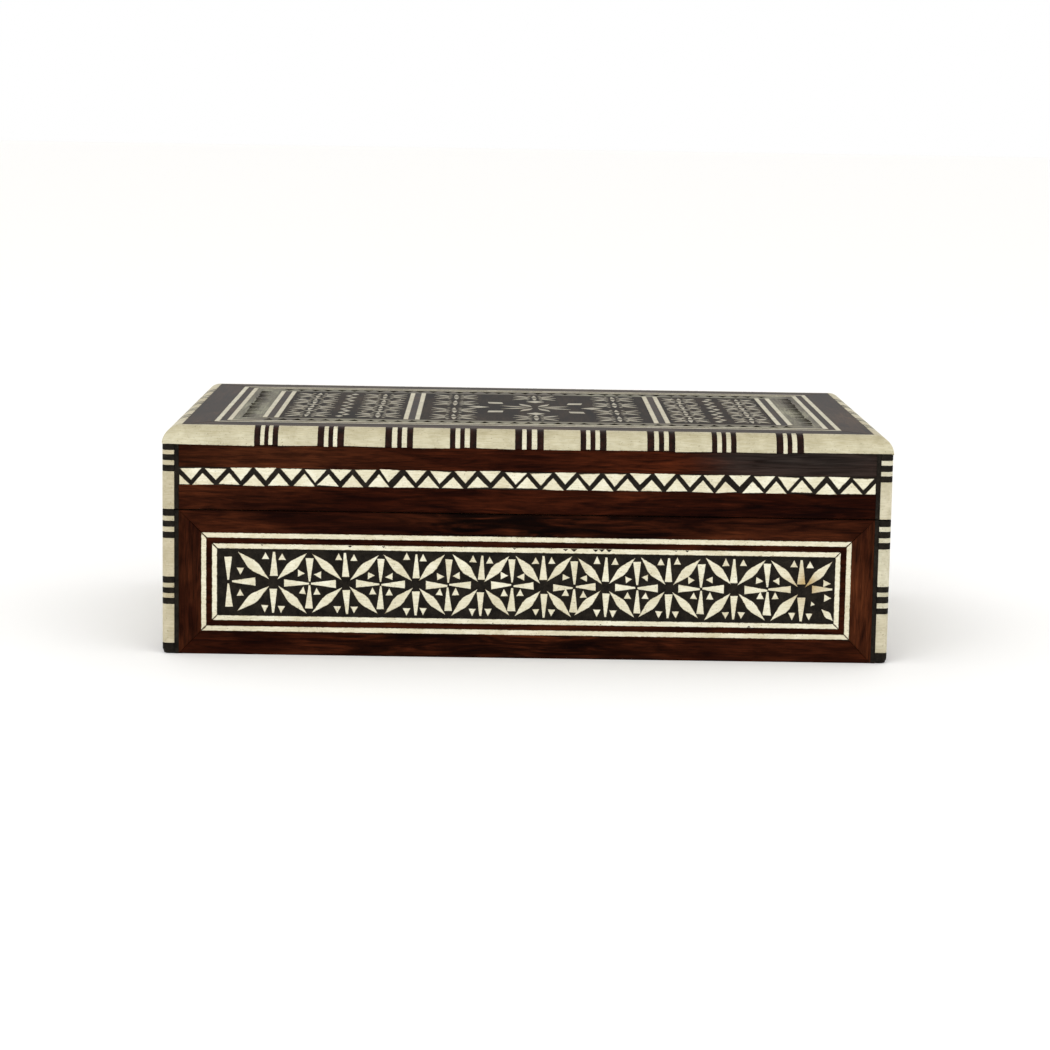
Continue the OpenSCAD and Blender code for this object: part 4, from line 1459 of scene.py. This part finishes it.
# %% Centre star
middle = CENTRE_SHIFT / MM
kite = shape([(13.5, 0), (17, -2.8), (20.5, 0), (17, 2.8)], 0.25 * MM)
made = []
for angle in range(0, 360, 45):
    made.append(stamp(petal, (middle, 0), angle + 22.5, (1.05, 0.95), 1.33))
    made.append(stamp(kite, (middle, 0), angle, wobble=0.05))
columns = [(x, TILE_EDGE) for x in (-1, 1)] + [(0, 20.5 + TILE_ROOM)]
for way, least in columns:
    y = depth - TILE_EDGE
    while y > least:
        x = middle + way * (CENTRE_W / MM / 2 - TILE_EDGE)
        made += tile((x, y), TILE_ROOM) + tile((x, -y), TILE_ROOM)
        y -= TILE_STEP
medallion = join(made)
medallion.location = (0, 0, TOP)
finish(settle(medallion), "top_centre_star", top_bone, "lid", "bone", "top_medallion")
for template in templates + [kite]:
    bpy.data.objects.remove(template)

# %% [markdown]
# ## Velvet lining
#
# The inside is lined with thin boards padded and covered in velvet. Each starts as a slab. The
# face that shows is inset and raised, so the pad swells from its edge, then it is subdivided
# and its vertices are moved a little by a smooth noise, as stuffing that has settled.


# %% Velvet pads
PAD_EDGE = 1.6 * MM


def pad(low, high, towards):
    """A padded velvet board between two corners, soft on the side that it looks to."""
    towards = Vector(towards)
    lift = 0.5 * (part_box("base_floor_lining")[1].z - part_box("base_floor_lining")[0].z)
    low = Vector(low)
    high = Vector(high)
    for axis in range(3):
        if towards[axis] > 0:
            high[axis] -= lift
        if towards[axis] < 0:
            low[axis] += lift
    piece = slab(low, high)
    edge_rim(piece, towards, PAD_EDGE)
    activate(piece)
    bpy.ops.object.mode_set(mode="EDIT")
    bpy.ops.transform.translate(value=towards * lift * 0.86)
    bpy.ops.mesh.subdivide(number_cuts=24)
    bpy.ops.object.mode_set(mode="OBJECT")
    for vertex in piece.data.vertices:
        if vertex.select:
            settled = noise.noise(vertex.co / (14 * MM)) + 0.4 * noise.noise(vertex.co / (5 * MM))
            vertex.co += towards * (max(-1.0, min(1.0, settled)) * 0.14 * lift)
    return piece


def cover(pieces, name, node, body):
    """Finishes one or more pads as one padded piece."""
    piece = soften(join(pieces), 0.12 * MM, 2, 40)
    activate(piece)
    bpy.ops.object.shade_smooth_by_angle(angle=math.radians(50))
    finish(piece, name, velvet, body, "velvet", node)


def wall_pads(node):
    """Four pads round the inside of the walls, mitred where they meet."""
    low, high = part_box(node)
    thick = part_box("base_floor_lining")[1].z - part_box("base_floor_lining")[0].z
    made = []
    for side in SIDES:
        half = high.x if is_long(side) else high.y
        out = high.y if is_long(side) else high.x
        piece = pad((-half, -out, low.z), (half, -out + thick, high.z), (0, 1, 0))
        for way in (-1, 1):
            saw(piece, (way * (half - 0.05 * MM), -out, 0), (way, 1, 0))
        made.append(turn(piece, side))
    return made


floor_low, floor_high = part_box("base_floor_lining")
cover([pad(floor_low, floor_high, (0, 0, 1))], "base_floor_velvet", "base_floor_lining", "base")
ceiling_low, ceiling_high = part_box("lid_ceiling_lining")
cover([pad(ceiling_low, ceiling_high, (0, 0, -1))], "lid_ceiling_velvet", "lid_ceiling_lining", "lid")
cover(wall_pads("base_wall_lining"), "base_wall_velvet", "base_wall_lining", "base")
cover(wall_pads("lid_wall_lining"), "lid_wall_velvet", "lid_wall_lining", "lid")

# %% [markdown]
# ## What stays as it is
#
# The boards, the ebony lines beside the posts and the hinges already have their right shape,
# so they only get their finish.

# %% Finishes of the frame's own pieces
def dress(node, material):
    mesh = frame["nodes"][node].data
    mesh.materials.clear()
    mesh.materials.append(material)


for side in SIDES:
    for part in ("base", "lid"):
        dress(f"{part}_{side}_wall", carcass[0 if is_long(side) else 1])
dress("bottom_board", carcass[0])
dress("lid_top_board", carcass[0])
for node in ("base_edge_lines", "lid_edge_lines"):
    dress(node, ebony)
for part in ("base", "lid"):
    dress(f"{part}_hinge_leaves", brass)
    dress(f"{part}_hinge_screws", brass)
dress("hinge_pins", brass)
